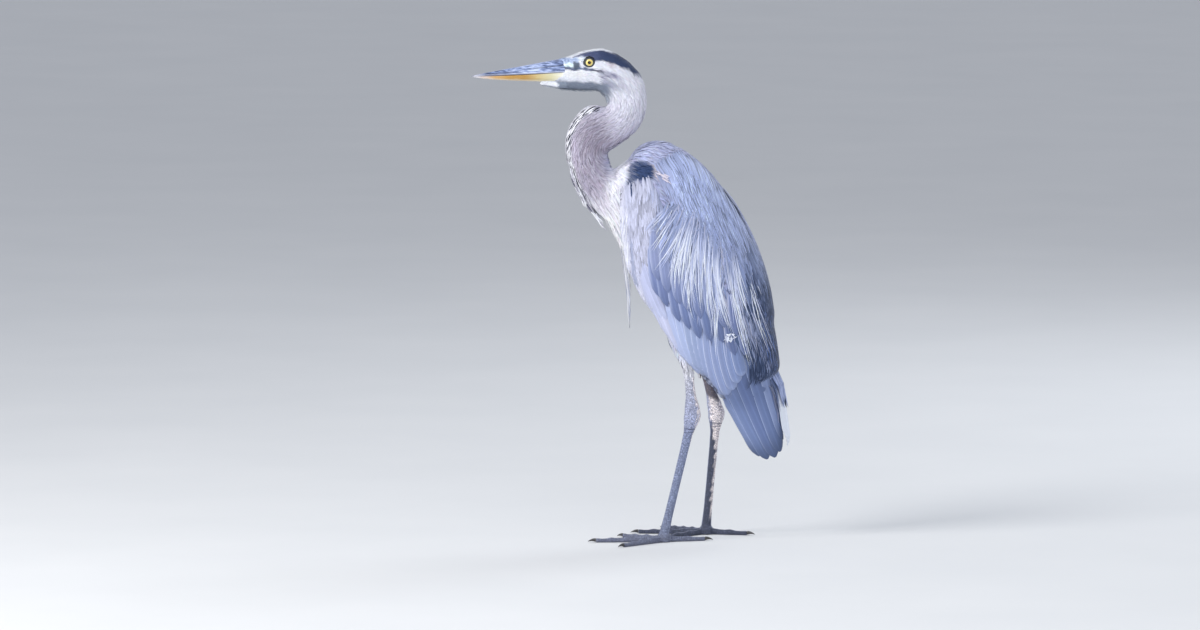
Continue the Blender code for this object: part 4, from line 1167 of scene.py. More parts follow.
def plume_paint(tones, rows, columns, seed, blue_root=0.0):
    """Paint of soft vanes: each its own tone, darker at the root than at the tip, or blue there."""
    rng = np.random.default_rng(seed)
    tone = tones[:, None, None] * (1 + rng.normal(0, 0.07, (len(tones), 1, 1, 1)))
    along = np.linspace(0, 1, rows)[None, :, None, None]
    tone = tone * (1 - ROOT_SHADE + 2 * ROOT_SHADE * along)
    tone = tone + (ROOT_BLUE - tone) * blue_root * fall(0.08, 0.45, along)
    return np.clip(tone * np.ones((1, 1, columns, 1)), 0.004, 1)


def plumes(base, tip, half_width, rows, lifts, tones, seed, blue_root=0.0, **more):
    spots, lengths = lay_on_sheet(base, tip, half_width, "lance", rows, *lifts, seed=seed, **more)
    return spots, plume_paint(tones, rows, 3, seed, blue_root=blue_root), sheet_bake(base), lengths


rng = np.random.default_rng(46)
count = 950
down = np.sort(rng.uniform(0.012, 0.2, count))
lead = np.interp(down, LEAD_DOWN, LEAD_OUT)
band = np.interp(down, (0.012, 0.03, 0.06, 0.1, 0.14, 0.17, 0.2), (0.05, 0.06, 0.072, 0.056, 0.034, 0.024,
                     0.012))
base = columns_of(down, lead + 0.002 + band * rng.random(count) ** 1.1)
reach = rng.uniform(0.02, 0.036, count)
lean = np.interp(down, (0.02, 0.1, 0.16, 0.2), (-0.42, -0.3, -0.1, 0.06)) + rng.normal(0, 0.12, count)
tip = base + columns_of(reach, reach * lean)
middle = from_body(base[:, 0] + 0.4 * reach, base[:, 1], 0.05)
tone = wing_tone(*(0.45 * base + 0.55 * tip).T, ripple(middle, 0.022, 72))
tone *= rng.choice((1.07, 1.0, 0.9), (count, 1), p=(0.4, 0.42, 0.18))
bars = step(-0.1, 0.6, ripple(middle, 0.016, 73)) * step(0.012, 0.03, base[:, 1] - lead)
tone *= 1 - 0.3 * bars[:, None]
made = plumes(base, tip, rng.uniform(0.0012, 0.0021, count), PLUME_ROWS, (-0.0008, 0.0009), tone, 47,
              camber=0.0003, wave=0.012)
hang("front_coverts", *both_wings(*made), soft_vane, "blue_grey_feather")


# The shoulder mark: a few pinkish-white feathers behind each navy shoulder patch, raised a little over
# the small coverts round them.
rng = np.random.default_rng(141)
count = 13
base = np.array((0.017, 0.041)) + rng.uniform(0, 1, (count, 1)) * np.array((0.013, 0.006))
base += rng.normal(0, 0.0016, (count, 2))
tip = base + columns_of(rng.uniform(0.007, 0.013, count), rng.uniform(0.002, 0.008, count))
made = plumes(base, tip, 0.0009, 7, (0.0014, 0.0034), np.array((0.78, 0.72, 0.82)) * np.ones((count, 1)),
              142, wave=0.02)
hang("shoulder_mark", *both_wings(*made), soft_vane, "white_down")


# The breast's fringe: narrow white and grey feathers from the sides of the breast, which lie over each
# wing's front edge and soften it.
rng = np.random.default_rng(57)
count = 130
down = rng.uniform(0.032, 0.108, count)
lead = np.interp(down, LEAD_DOWN, LEAD_OUT)
base = columns_of(down, lead + 0.0005 + 0.026 * rng.random(count) ** 1.8 * (1 - down / 0.16))
end = np.minimum(down + rng.uniform(0.03, 0.055, count), 0.15)
inset = 0.018 * rng.random(count) ** 1.8 * (1 - end / 0.17)
tip = columns_of(end, np.interp(end, LEAD_DOWN, LEAD_OUT) + 0.0005 + inset)
tone = picked(rng, count, ((0.84, 0.85, 0.95), (0.7, 0.71, 0.84), (0.56, 0.58, 0.74)), (0.5, 0.3, 0.2))
made = plumes(base, tip, rng.uniform(0.0006, 0.0011, count), 9, (-0.0004, 0.0018), tone, 58, camber=0.0003,
              wave=0.012)
hang("breast_fringe", *both_wings(*made), soft_vane, "white_down")


# The mantle: fine soft feathers over the back, darker toward its lower edge, where navy is painted among
# them as shade. They start at the hump, cover the roots of the plumes, and each side is laid by itself, so
# that the back has no mirrored pattern.
MANTLE_COUNT, MANTLE_ROWS = 3000, 8


def mantle(count, seed):
    """One wing's share of the mantle."""
    rng = np.random.default_rng(seed)
    down = np.sort(rng.uniform(0.0, 0.33, count))
    front_line = np.interp(down, (0, 0.04, 0.1, 0.19, 0.25, 0.31),
                           (0.044, 0.042, 0.04, 0.046, 0.056, 0.076))
    front_line += rng.normal(0, 0.005, count)
    back_line = np.interp(down, (0, 0.025, 0.055, 0.1, 0.15, 0.2, 0.3, 0.33),
                          (0.086, 0.102, 0.114, 0.124, 0.13, 0.13, 0.117, 0.106))
    out = front_line + (back_line - front_line) * rng.random(count) ** 0.85
    reach = rng.uniform(0.03, 0.052, count) + 0.016 * step(0.04, 0.16, down)
    lean = np.interp(down, (0, 0.15, 0.3), (0.02, -0.08, -0.22))
    base = columns_of(down, out)
    tip = columns_of(np.minimum(down + reach, 0.384), out + lean * reach)
    shades = rng.choice((1.48, 1.1, 0.84, 0.52), (count, 1), p=(0.18, 0.37, 0.28, 0.17))
    mantle_tone = np.array((0.385, 0.45, 0.7)) * shades
    mantle_tone *= 1 - 0.42 * step(0.1, 0.2, down + 0.5 * (out - 0.1))[:, None]
    join = np.clip(1 - (out - front_line) / 0.012, 0, 1)[:, None] * fall(0.05, 0.09, down)[:, None]
    mantle_tone = mantle_tone + (np.array((0.4, 0.435, 0.65)) - mantle_tone) * join * 0.8
    low_down = step(0.18, 0.27, down)
    # painted shade: navy feathers beside the back's low edge, where it turns away from the light
    back_shade_share = shaded_back(down + rng.normal(0, 0.022, count), out + rng.normal(0, 0.008, count))[:, None]
    back_shade_tone = np.array(BACK_SHADE_NAVY) * rng.choice((0.7, 1.5, 4.0), (count, 1), p=(0.66, 0.22, 0.12))
    tone = mantle_tone * (1 - back_shade_share) + back_shade_tone * back_shade_share
    lifts = (-0.0004 + 0.0008 * low_down, 0.0014 + 0.0014 * low_down)
    return plumes(base, tip, 0.00115, MANTLE_ROWS, lifts, tone, seed + 1, camber=0.0002, wave=0.008,
                  side_on=False)


hang("mantle_feathers", *two_wings(mantle(MANTLE_COUNT, 51), mantle(MANTLE_COUNT, 151)), thread_vane,
     "silver_plume", ("scapulars",))


# The lower back: feathers between the folded wings, navy and slate low down as painted shade, grey-blue
# toward the hump, each row over the roots of the next. Each side is laid by itself.
LOWER_COUNT = 1750


def lower_back(count, seed):
    """One side of the lower back."""
    rng = np.random.default_rng(seed)
    down = rng.uniform(0.085, 0.362, count)
    down = np.sort(down + np.where(down < 0.125, 0.045, 0) * rng.random(count))
    edge = np.interp(down, (0.15, 0.2, 0.25, 0.3, 0.35, 0.39), (0.14, 0.107, 0.088, 0.072, 0.051, 0.041))
    reach_round = np.maximum(around_for(down, edge), 0.012 + 0.1 * np.maximum(0, down - 0.13))
    reach_round *= rng.uniform(0.8, 1.25, count)
    round_at = reach_round * rng.random(count)
    base = columns_of(down, -round_at)
    tip = columns_of(np.minimum(down + rng.uniform(0.026, 0.046, count), 0.389),
                     -round_at * rng.uniform(0.96, 1, count))
    blue = fall(0.15, 0.265, down + rng.normal(0, 0.02, count))[:, None]
    # painted shade: the navy and slate tones low on the back
    tone = picked(rng, count, ((0.016, 0.032, 0.085), (0.036, 0.062, 0.14), (0.09, 0.125, 0.24)),
                  (0.6, 0.3, 0.1))
    high_up = fall(0.11, 0.19, down)[:, None]
    upper_tone = np.array((0.25, 0.305, 0.5)) * (1 - high_up) + np.array((0.335, 0.375, 0.58)) * high_up
    tone = tone * (1 - blue) + upper_tone * rng.choice((1.25, 1.0, 0.75), (count, 1)) * blue
    spots, lengths = lay_on_sheet(base, tip, 0.0021, "lance", 8, 0.0004, 0.0026, seed=seed + 1,
        camber=0.0003, wave=0.01, side_on=False, measured=True)
    bake_spots = columns_of(0.02 + round_at * 1.7, 0.02 + (down + 0.02) * 1.7)
    return spots, plume_paint(tone, 8, 3, seed + 2), bake_spots, lengths


hang("lower_back_feathers", *two_wings(lower_back(LOWER_COUNT, 131), lower_back(LOWER_COUNT, 231)),
     thread_vane, "slate_feather")


# The shoulder plumes: a fan that opens from the shoulder over the wing, as a grown heron wears in the
# breeding season. Soft blue feathers lie under long silver threads, which gather in a few bunches.
FAN_ROOT = ((0.07, 0.04), (0.088, 0.055), (0.098, 0.064), (0.108, 0.071), (0.125, 0.08), (0.155, 0.093),
            (0.195, 0.106))
FAN_TIP = ((0.1, -0.01), (0.16, -0.026), (0.2, -0.022), (0.252, -0.01), (0.305, 0.002), (0.345, 0.045),
           (0.352, 0.08))
LOW_ROOT = ((0.15, 0.026), (0.175, 0.04), (0.2, 0.056), (0.215, 0.074), (0.23, 0.094))
LOW_TIP = ((0.25, -0.012), (0.29, 0.006), (0.325, 0.03), (0.352, 0.052), (0.372, 0.078))
# each bunch of threads: root, end, sideways bow as a share of its length, how many, and how far they
# stray
BUNCHES = (((0.078, 0.038), (0.093, -0.005), 0.0, 2, 0.003),
           ((0.086, 0.044), (0.118, -0.014), 0.0, 3, 0.004),
           ((0.094, 0.05), (0.14, -0.022), 0.0, 3, 0.0034),
           ((0.1, 0.06), (0.157, -0.026), 0.0, 5, 0.0014),
           ((0.106, 0.064), (0.176, -0.016), 0.02, 3, 0.0022),
           ((0.114, 0.068), (0.202, -0.018), 0.09, 6, 0.0016),
           ((0.12, 0.072), (0.218, -0.014), 0.06, 5, 0.0032),
           ((0.12, 0.072), (0.238, -0.012), 0.06, 8, 0.0018),
           ((0.12, 0.072), (0.262, -0.013), 0.11, 8, 0.002),
           ((0.126, 0.076), (0.236, 0.01), 0.04, 8, 0.0036),
           ((0.132, 0.08), (0.264, 0.014), 0.04, 9, 0.0026),
           ((0.14, 0.084), (0.276, 0.026), 0.06, 7, 0.0034),
           ((0.146, 0.09), (0.296, 0.034), 0.09, 10, 0.002),
           ((0.18, 0.084), (0.33, -0.007), 0.06, 3, 0.001),
           ((0.2, 0.078), (0.304, 0.004), 0.05, 3, 0.0024),
           ((0.165, 0.1), (0.354, 0.043), 0.06, 5, 0.0014),
           ((0.195, 0.096), (0.36, 0.04), 0.05, 3, 0.0012),
           ((0.23, 0.097), (0.34, 0.072), 0.02, 2, 0.0016),
           ((0.21, 0.106), (0.356, 0.082), 0.03, 2, 0.002),
           ((0.16, 0.102), (0.29, 0.072), 0.04, 3, 0.0036))


def fan(count, roots, tips, seed, jitter, reach):
    """Places for plumes between two curves."""
    rng = np.random.default_rng(seed)
    share = rng.random(count) * (len(roots) - 1)
    base, tip = (read_table(share, np.arange(len(line)), line) for line in (roots, tips))
    start = base + rng.normal(0, jitter, (count, 2)) + (tip - base) * rng.uniform(-0.15, 0.45, (count, 1))
    end = start + (tip - base) * rng.uniform(*reach, (count, 1)) + rng.normal(0, jitter * 0.7, (count, 2))
    end[:, 0] = np.minimum(end[:, 0], 0.384)
    return start, end


THREAD_END = 0.38
plume_parts = []
for seed, count, roots_at, tips_at in ((61, 380, FAN_ROOT, FAN_TIP), (62, 190, LOW_ROOT, LOW_TIP)):
    start, end = fan(count, roots_at, tips_at, seed, 0.006, (0.3, 0.62))
    rng = np.random.default_rng(seed + 3)
    middle = start * 0.4 + end * 0.6
    tones = wing_tone(middle[:, 0], middle[:, 1], rng.normal(0, 0.5, count))
    tones *= rng.choice((1.2, 0.95, 0.68, 0.45), (count, 1), p=(0.2, 0.35, 0.27, 0.18))
    plume_parts.append(plumes(start, end, 0.0022, 12, (-0.0002, 0.0018), tones, seed + 10, wave=0.012,
                              camber=0.0003))
for seed, count, roots_at, tips_at in ((63, 90, FAN_ROOT, FAN_TIP), (64, 26, LOW_ROOT, LOW_TIP)):
    start, end = fan(count, roots_at, tips_at, seed, 0.005, (0.25, 0.6))
    rng = np.random.default_rng(seed + 3)
    tones = picked(rng, count, (PALE, MIST, SILVER), (0.5, 0.4, 0.1))
    plume_parts.append(plumes(start, end, 0.00055, 12, (0.0006, 0.0032), tones, seed + 10, 0.7, wave=0.014))
rng = np.random.default_rng(66)
locks = [*BUNCHES]
for share in rng.uniform(0.2, 0.95, 20):
    root, end = [np.array([np.interp(share * 6, range(7), band) for band in np.array(line).T])
                 for line in (FAN_ROOT, FAN_TIP)]
    keep = rng.uniform(0.55, 0.95)
    locks.append((root, root + (end - root) * keep, rng.uniform(0, 0.08), int(rng.integers(2, 6)),
                  rng.uniform(0.0008, 0.0022)))
for index, (root, end, bow, count, stray) in enumerate(locks):
    root, end = np.array(root), np.array(end)
    shift = rng.normal(0, stray, (count, 2))
    start = root + shift * 1.6 + (end - root) * rng.uniform(-0.06, 0.25, (count, 1))
    close = end + shift * 1.2 + rng.normal(0, stray * 0.4, (count, 2))
    close -= (end - root) * np.abs(rng.normal(0, 0.13, (count, 1)))
    close[:, 0] = np.minimum(close[:, 0], THREAD_END)
    tones = picked(rng, count, (SILVER, (0.66, 0.71, 0.92), (0.48, 0.54, 0.78)), (0.58, 0.27, 0.15))
    plume_parts.append(plumes(start, close, rng.uniform(0.0004, 0.00075, count), 14, (0.0016, 0.0042),
                              tones, 80 + index, 0.85, wave=0.008, bow=bow + rng.normal(0, 0.012, count)))
for title, rows in (("shoulder_plumes", 12), ("shoulder_threads", 14)):
    joined = together([part for part in plume_parts if part[0].shape[1] == rows])
    hang(title, *both_wings(*joined), thread_vane, "silver_plume")
# a tuft of white down at the wing's corner, where the longest threads end
rng = np.random.default_rng(97)
count = 26
base = np.array((0.3, 0.03)) + rng.normal(0, 0.003, (count, 2))
turn = rng.normal(0.0, 1.1, count)
tip = base + rng.uniform(0.003, 0.009, (count, 1)) * columns_of(np.cos(turn), np.sin(turn))
made = plumes(base, tip, 0.0008, 6, (0.0016, 0.005), np.array(SILVER) * np.ones((count, 1)), 98, wave=0.05)
hang("wing_down_tuft", *both_wings(*made), thread_vane, "silver_plume")


# The tail: six feathers a side, laid in a shallow roof, and the coverts that hide its roots above and
# below. The middle pair is short and dark, and the rest are slate at the root, painted white from about
# half way down as a highlight of light falling on them.
TAIL_DOWN = (0.3503, 0.37, 0.391, 0.412, 0.448, 0.472, 0.488, 0.498, 0.504)
TAIL_TOP = (0.081, 0.0765, 0.073, 0.0718, 0.0617, 0.0536, 0.0494, 0.044, 0.039)
TAIL_HALF = (0.014, 0.016, 0.019, 0.025, 0.028, 0.029, 0.028, 0.023, 0.014)
TAIL_ROOF = 0.012


def on_tail(down, side, lift):
    half = np.interp(down, TAIL_DOWN, TAIL_HALF)
    return from_body(down, np.interp(down, TAIL_DOWN, TAIL_TOP) - TAIL_ROOF * np.abs(side) / half + lift,
                     side)


def lay_on_tail(base, tip, half_width, kind, rows, lift_root, lift_tip, columns=(-1, 0, 1), camber=0.0,
                surface=on_tail):
    """Vanes on the tail's roof, or on another surface, between (down, side) places."""
    share = 1 - (1 - np.linspace(0, 1, rows)) ** (FLIGHT_CROWD if rows == FLIGHT_ROWS else 1)
    line = base[:, None] + (tip - base)[:, None] * share[None, :, None]
    columns = np.array(columns, float)
    offset = -columns[None, None] * (half_width * vane_width(kind, share))[None, :, None]
    down, side = line[..., 0, None] + 0 * offset, line[..., 1, None] + offset
    lift = (lift_root + (lift_tip - lift_root) * share)[None, :, None]
    spots = surface(down, side, lift + camber * (1 - columns ** 2)[None, None])
    return spots, np.linalg.norm(tip - base, axis=1)


tail_parts = []
TAIL_RANKS = 6
for rank in range(TAIL_RANKS):
    for hand in (1, -1):
        base = np.array([(0.352, hand * (0.0008 + 0.0018 * rank))])
        tip = np.array([(0.446 if rank == 0 else 0.5035 - 0.0022 * rank ** 1.5,
                         hand * (0.0025 + 0.0037 * rank))])
        spots, length = lay_on_tail(base, tip, 0.0078, "blade", FLIGHT_ROWS, -0.0004 - 0.0004 * rank,
            -0.0003 - 0.00045 * rank, FLIGHT_COLUMNS, 0.0004)
        paint = flight_paint(np.array([(0.045, 0.07, 0.145) if rank == 0 else (0.11, 0.155, 0.3)]),
                             (0.14, 0.18, 0.32), (0.03, 0.05, 0.11), 80 + rank, 0.75, 0.9)
        if rank:
            # painted highlight: white over the outer part of each tail feather
            begins = 0.62 if rank == TAIL_RANKS - 1 else 0.42
            tail_share = 1 - (1 - np.linspace(0, 1, FLIGHT_ROWS)) ** FLIGHT_CROWD
            white = step(begins, begins + 0.16, tail_share)[None, :, None, None]
            paint = paint * (1 - white) + np.array((0.82, 0.86, 0.95)) * white
        tail_parts.append((spots, paint, np.array([(0.1 + 0.07 * rank + 0.4 * (hand < 0), 0.1)]), length))
tail = hang("tail_feathers", *together(tail_parts), flight_vane, "slate_feather", ("tail",))
thicken(tail, 0.0006)

rng = np.random.default_rng(91)
covert_parts = []
for count, low, high, lift, tones in ((110, 0.322, 0.395, 0.0012, (MIST, SLATE)),
                                      (120, 0.325, 0.42, -0.0085, ((0.62, 0.65, 0.8), (0.45, 0.49, 0.66)))):
    base = columns_of(rng.uniform(low, high, count), rng.uniform(-0.013, 0.013, count))
    tip = base + columns_of(rng.uniform(0.035, 0.06, count), base[:, 1] * 0.5)
    spots, length = lay_on_tail(base, tip, 0.0048, "lance", 9, lift, lift + math.copysign(0.0012, lift),
        camber=math.copysign(0.0004, lift))
    covert_parts.append((spots, plume_paint(np.array(tones)[rng.integers(0, 2, count)], 9, 3, 92),
                         columns_of(0.1 + (base[:, 0] - low) * 4 + 0.4 * (lift < 0), 0.5 + base[:, 1]
                             * 10), length))
hang("tail_coverts", *together(covert_parts), soft_vane, "blue_grey_feather")


# The vent: a full bed of soft white and grey feathers that runs from the belly, between the wings, to the
# underside of the tail. Each row lies under the tips of the row before it.
VENT_DOWN = (0.22, 0.26, 0.3, 0.32, 0.34, 0.36, 0.38, 0.4, 0.43, 0.46, 0.49, 0.505)
VENT_OUT = (-0.046, -0.034, -0.022, -0.014, -0.006, 0.001, 0.009, 0.016, 0.024, 0.028, 0.029, 0.028)
VENT_HALF = (0.046, 0.047, 0.047, 0.046, 0.042, 0.037, 0.03, 0.017, 0.013, 0.011, 0.008, 0.006)


def under_vent(down, side, lift):
    half, out = np.interp(down, VENT_DOWN, VENT_HALF), np.interp(down, VENT_DOWN, VENT_OUT)
    dish = np.interp(down, (0.24, 0.3, 0.34, 0.42), (0.03, 0.022, 0.014, 0.003)) * (side / half) ** 2
    return from_body(down, out + dish + lift, side)


rng = np.random.default_rng(111)
count = 900
down = rng.uniform(0.225, 0.45, count)
share = rng.uniform(-1, 1, count)
end = np.minimum(down + rng.uniform(0.026, 0.046, count), rng.uniform(0.465, 0.49, count))
base = columns_of(down, share * np.interp(down, VENT_DOWN, VENT_HALF))
tip = columns_of(end, share * np.interp(end, VENT_DOWN, VENT_HALF) * rng.uniform(0.85, 1.05, count))
spots, length = lay_on_tail(base, tip, 0.003, "lance", 7, 0.003, -0.0014, camber=-0.0004,
                            surface=under_vent)
pale = picked(rng, count, ((0.95, 0.96, 1.0), (0.86, 0.87, 0.95), (0.68, 0.7, 0.8)), (0.5, 0.35, 0.15))
toward_tail = step(0.36, 0.45, down)[:, None] * 0.75
tone = pale * (1 - toward_tail) + np.array((0.55, 0.59, 0.74)) * toward_tail
hang("vent_feathers", spots, plume_paint(tone, 7, 3, 112), columns_of(0.5 + 8 * base[:, 1],
         3 * (down - 0.2)), length, soft_vane, "white_down")


# The breast plumes: long narrow white feathers that hang free from the base of the neck in front of the
# wing, the longest down to the belly, and a fringe of shorter ones on the foreneck above them.
def strands(name, roots, ends, half_width, rows, sag, paint, bake_spots, slot, replaces=()):
    """Free-hanging vanes between two places, with a slight sag to the front, each turned its own way."""
    rng = np.random.default_rng(17)
    share = np.linspace(0, 1, rows)
    line = roots[:, None] + (ends - roots)[:, None] * share[None, :, None]
    line = line + sag[:, None] * np.sin(math.pi * share)[None, :, None] * 0.6
    waver = rng.normal(0, 0.0012, (len(roots), 1, 3)) * np.sin(share * 6)[None, :, None]
    line = line + waver * share[None, :, None]
    flow = unit(np.gradient(line, axis=1))
    facing = unit(columns_of(np.ones(len(roots)), rng.normal(0, 0.7, len(roots)),
                             rng.normal(0, 0.2, len(roots))))[:, None]
    across = unit(np.cross(flow, np.broadcast_to(facing, flow.shape)))
    wide = half_width[:, None] * vane_width("lance", share)[None]
    aside = across[:, :, None] * np.array((-1, 0, 1))[None, None, :, None]
    spots = line[:, :, None] + aside * wide[:, :, None, None]
    spots[:, :, 1] += np.cross(flow, across) * 0.00025
    return hang(name, spots, paint, bake_spots, np.linalg.norm(ends - roots, axis=1), thread_vane, slot,
                replaces)


count = 150
start_share, end_share = rng.uniform(0, 0.25, count), np.clip(rng.normal(0.72, 0.22, count), 0.35, 0.99)
across = rng.uniform(-1, 1, count)


def plume_line(share):
    front = -0.0415 + 0.035 * step(-0.45, 0.75, share)
    return front + 0.002 + rng.uniform(0, 0.006, len(share)) * (1 - share), 0.492 - 0.159 * share


start_y, start_z = plume_line(start_share)
end_y, end_z = plume_line(end_share)
strand_roots = columns_of(across * 0.013 * (1 - 0.5 * start_share), start_y + 0.004, start_z)
strand_ends = columns_of(across * 0.013 * (1 - 0.93 * end_share), end_y + 0.0015, end_z)
plume_tone = picked(rng, count, ((0.93, 0.94, 1.0), (0.8, 0.82, 0.92), (0.45, 0.48, 0.6)), (0.6, 0.3, 0.1))
strands("breast_plume_strands", strand_roots, strand_ends, rng.uniform(0.0007, 0.0013, count), 14,
        np.tile((0, 0.0035, 0), (count, 1)), plume_paint(plume_tone, 14, 3, 93),
        columns_of(0.5 + strand_roots[:, 0] * 20, (strand_roots[:, 2] - 0.4) * 4), "silver_plume",
        ("breast_plumes",))


# narrow white, grey and dark feathers that stand a little off the foot of the neck
FOOT_OF_NECK = np.array(((-101, 590), (-93, 562), (-72, 527), (-50, 501), (-41, 487), (-34, 470),
                         (-29, 455)))
foot_run = np.concatenate([[0], np.cumsum(np.hypot(*np.diff(FOOT_OF_NECK, axis=0).T))])
count = 130
begin = rng.uniform(0, 82, count)
close = begin + rng.uniform(22, 40, count)
side = rng.uniform(-1, 1, count) * 0.014
roots, ends = (columns_of(side * narrow, np.interp(run, foot_run, FOOT_OF_NECK[:, 0]) / 1000 + 20 * side
                          ** 2 + inset, np.interp(run, foot_run, FOOT_OF_NECK[:, 1]) / 1000) for run,
               narrow, inset in ((begin, 1, rng.uniform(0.001, 0.005, count)),
                   (close, 0.8, rng.uniform(-0.0008, 0.002, count))))
foot_tone = picked(rng, count, ((0.9, 0.91, 0.98), (0.5, 0.48, 0.57), (0.1, 0.1, 0.17)), (0.52, 0.26, 0.22))
strands("foreneck_strands", roots, ends, rng.uniform(0.0006, 0.0011, count), 10,
        np.tile((0, -0.001, 0), (count, 1)), plume_paint(foot_tone, 10, 3, 95),
        columns_of(0.5 + side * 20, begin / 200), "silver_plume")


# The bill: a long dagger in two horn sheaths. The upper is slate blue with paler streaks and a slit nostril
# in a groove, the lower orange toward the tip and cream toward the feathers. They meet along the gape.
# Light is painted on: pale highlights along the top of the upper and the bottom of the lower, and at the
# gape a highlight over a dark shadow line.
BILL_ROOT, BILL_LONG = -0.1038, 0.149
SHARP_EDGE = math.radians(55)


def smooth_copy(name, parts, levels):
    """A merged copy of solids in four-sided faces, its hard edges held, subdivided to a smooth form."""
    made = merged_copy(name, parts)
    work = bmesh.new()
    work.from_mesh(made.data)
    bmesh.ops.join_triangles(work, faces=work.faces, angle_face_threshold=math.radians(40),
                             angle_shape_threshold=math.radians(60))
    crease = work.edges.layers.float.new("crease_edge")
    for edge in work.edges:
        if len(edge.link_faces) == 2 and edge.calc_face_angle(0) > SHARP_EDGE:
            edge[crease] = 0.75
    work.to_mesh(made.data)
    work.free()
    shape_with(made, "SUBSURF", levels=levels, render_levels=levels)
    shade_smooth(made)
    return made


upper = smooth_copy("upper_bill", ["bill_upper"], 3)
spots, ways = corners_of(upper)
share = (BILL_ROOT - spots[:, 1]) / BILL_LONG
gape_z = 0.7405 - 0.0075 * (0.62 * np.sin(math.pi * np.clip(share, 0, 1) / 2) + 0.38 * share)
groove_z = gape_z + (0.0115 * (1 - share) + 0.001)
groove = np.exp(-((spots[:, 2] - groove_z) / 0.0011) ** 2) * step(-0.02, 0.05, share)
groove *= fall(0.45, 0.7, share)
slit = np.exp(-((spots[:, 2] - groove_z) / 0.001) ** 2) * np.exp(-((share - 0.17) / 0.055) ** 4)
spots -= ways * (0.0008 * groove + 0.0012 * slit)[:, None]
move_corners(upper, spots)
upper.data.update()
lower = smooth_copy("lower_bill", ["bill_lower"], 3)

horn = Finish("upper_horn", {"Roughness": 0.32, "Coat Weight": 0.25, "Coat Roughness": 0.2})
place = horn.axes()
along = (BILL_ROOT - place.beside(1)) / BILL_LONG
level = (place.beside(2) - 0.7405 + along * 0.0062) / (0.0225 - along * 0.0205)
drawn = horn.drawn_out((1, 0.12, 1.6))
streaks = horn.noise(520, 5, drawn)
tone = horn.node("ShaderNodeValToRGB", {"stops": ((0.3, (0.02, 0.032, 0.09)), (0.45, (0.085, 0.125, 0.26)),
                         (0.56, (0.24, 0.31, 0.55)), (0.7, (0.56, 0.65, 0.9)))},
                 {"Fac": streaks * 1.05 + (0.34 - abs(along - 0.34)).held() * 0.5 - abs(level - 0.45)
                  * 0.18 - 0.02})
tone = horn.mixed((1 - abs(level - 0.3 + along * 0.05) * 5).held() * ((along - 0.42) * 5).held() * 0.85,
                  tone, (0.045, 0.055, 0.11, 1))
# painted highlight: paler along the top of the upper bill, more toward its tip
tone = horn.mixed(((level - 0.72) * 5).held() * (0.25 + ((along - 0.45) * 3).held() * 0.6), tone,
                  (0.5, 0.57, 0.8, 1))
tone = horn.mixed((1 - abs(level - 0.52 + along * 0.1) * 14).held() * (1 - ((along - 0.3) * 4).held())
                  * 0.9, tone, (0.02, 0.028, 0.06, 1))
# painted light at the gape: a pale highlight along the upper bill's lower edge, and under it a dark painted
# shadow line
tone = horn.mixed((1 - level * 7).held() * 0.85, tone, (0.66, 0.69, 0.84, 1))
tone = horn.mixed((1 - level * 22).held() * 0.8, tone, (0.05, 0.05, 0.08, 1))
tone = horn.mixed(((along - 0.84) * 9).held() * 0.7, tone, (0.62, 0.63, 0.74, 1))
tone = horn.mixed(((along - 0.965) * 40).held() * 0.8, tone, (0.12, 0.15, 0.22, 1))
upper.data.materials.append(horn.show(tone, streaks + horn.noise(2400, 3, drawn) * 0.3, 0.0003, 0.35))
lower_horn = Finish("lower_horn", {"Roughness": 0.34, "Coat Weight": 0.2, "Coat Roughness": 0.2})
place = lower_horn.axes()
along = (BILL_ROOT - place.beside(1)) / BILL_LONG
drawn = lower_horn.drawn_out((1, 0.15, 1.5))
streaks = lower_horn.noise(430, 4, drawn)
tone = lower_horn.node("ShaderNodeValToRGB",
                       {"stops": ((0.02, (0.84, 0.82, 0.7)), (0.16, (0.66, 0.61, 0.38)),
                            (0.3, (0.6, 0.46, 0.2)), (0.42, (0.46, 0.25, 0.055)),
                            (0.6, (0.52, 0.28, 0.06)), (0.74, (0.62, 0.36, 0.14)),
                            (0.84, (0.66, 0.5, 0.42)), (0.93, (0.7, 0.67, 0.72)))},
                       {"Fac": along + (streaks - 0.5) * 0.22})
tone = lower_horn.mixed(((streaks - 0.55) * 3).held() * 0.4, tone, (0.8, 0.7, 0.48, 1))
# painted highlight: cream along the lower bill's bottom edge
tone = lower_horn.mixed(((0.7275 + along * 0.0045 - place.beside(2)) * 700).held() * 0.45, tone,
                        (0.84, 0.78, 0.6, 1))
lower.data.materials.append(lower_horn.show(tone, streaks, 0.00025, 0.3))
for piece, node, slot in ((upper, "bill_upper", "bill_upper_horn"),
                          (lower, "bill_lower", "bill_lower_horn")):
    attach(piece, "root")
    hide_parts(node)


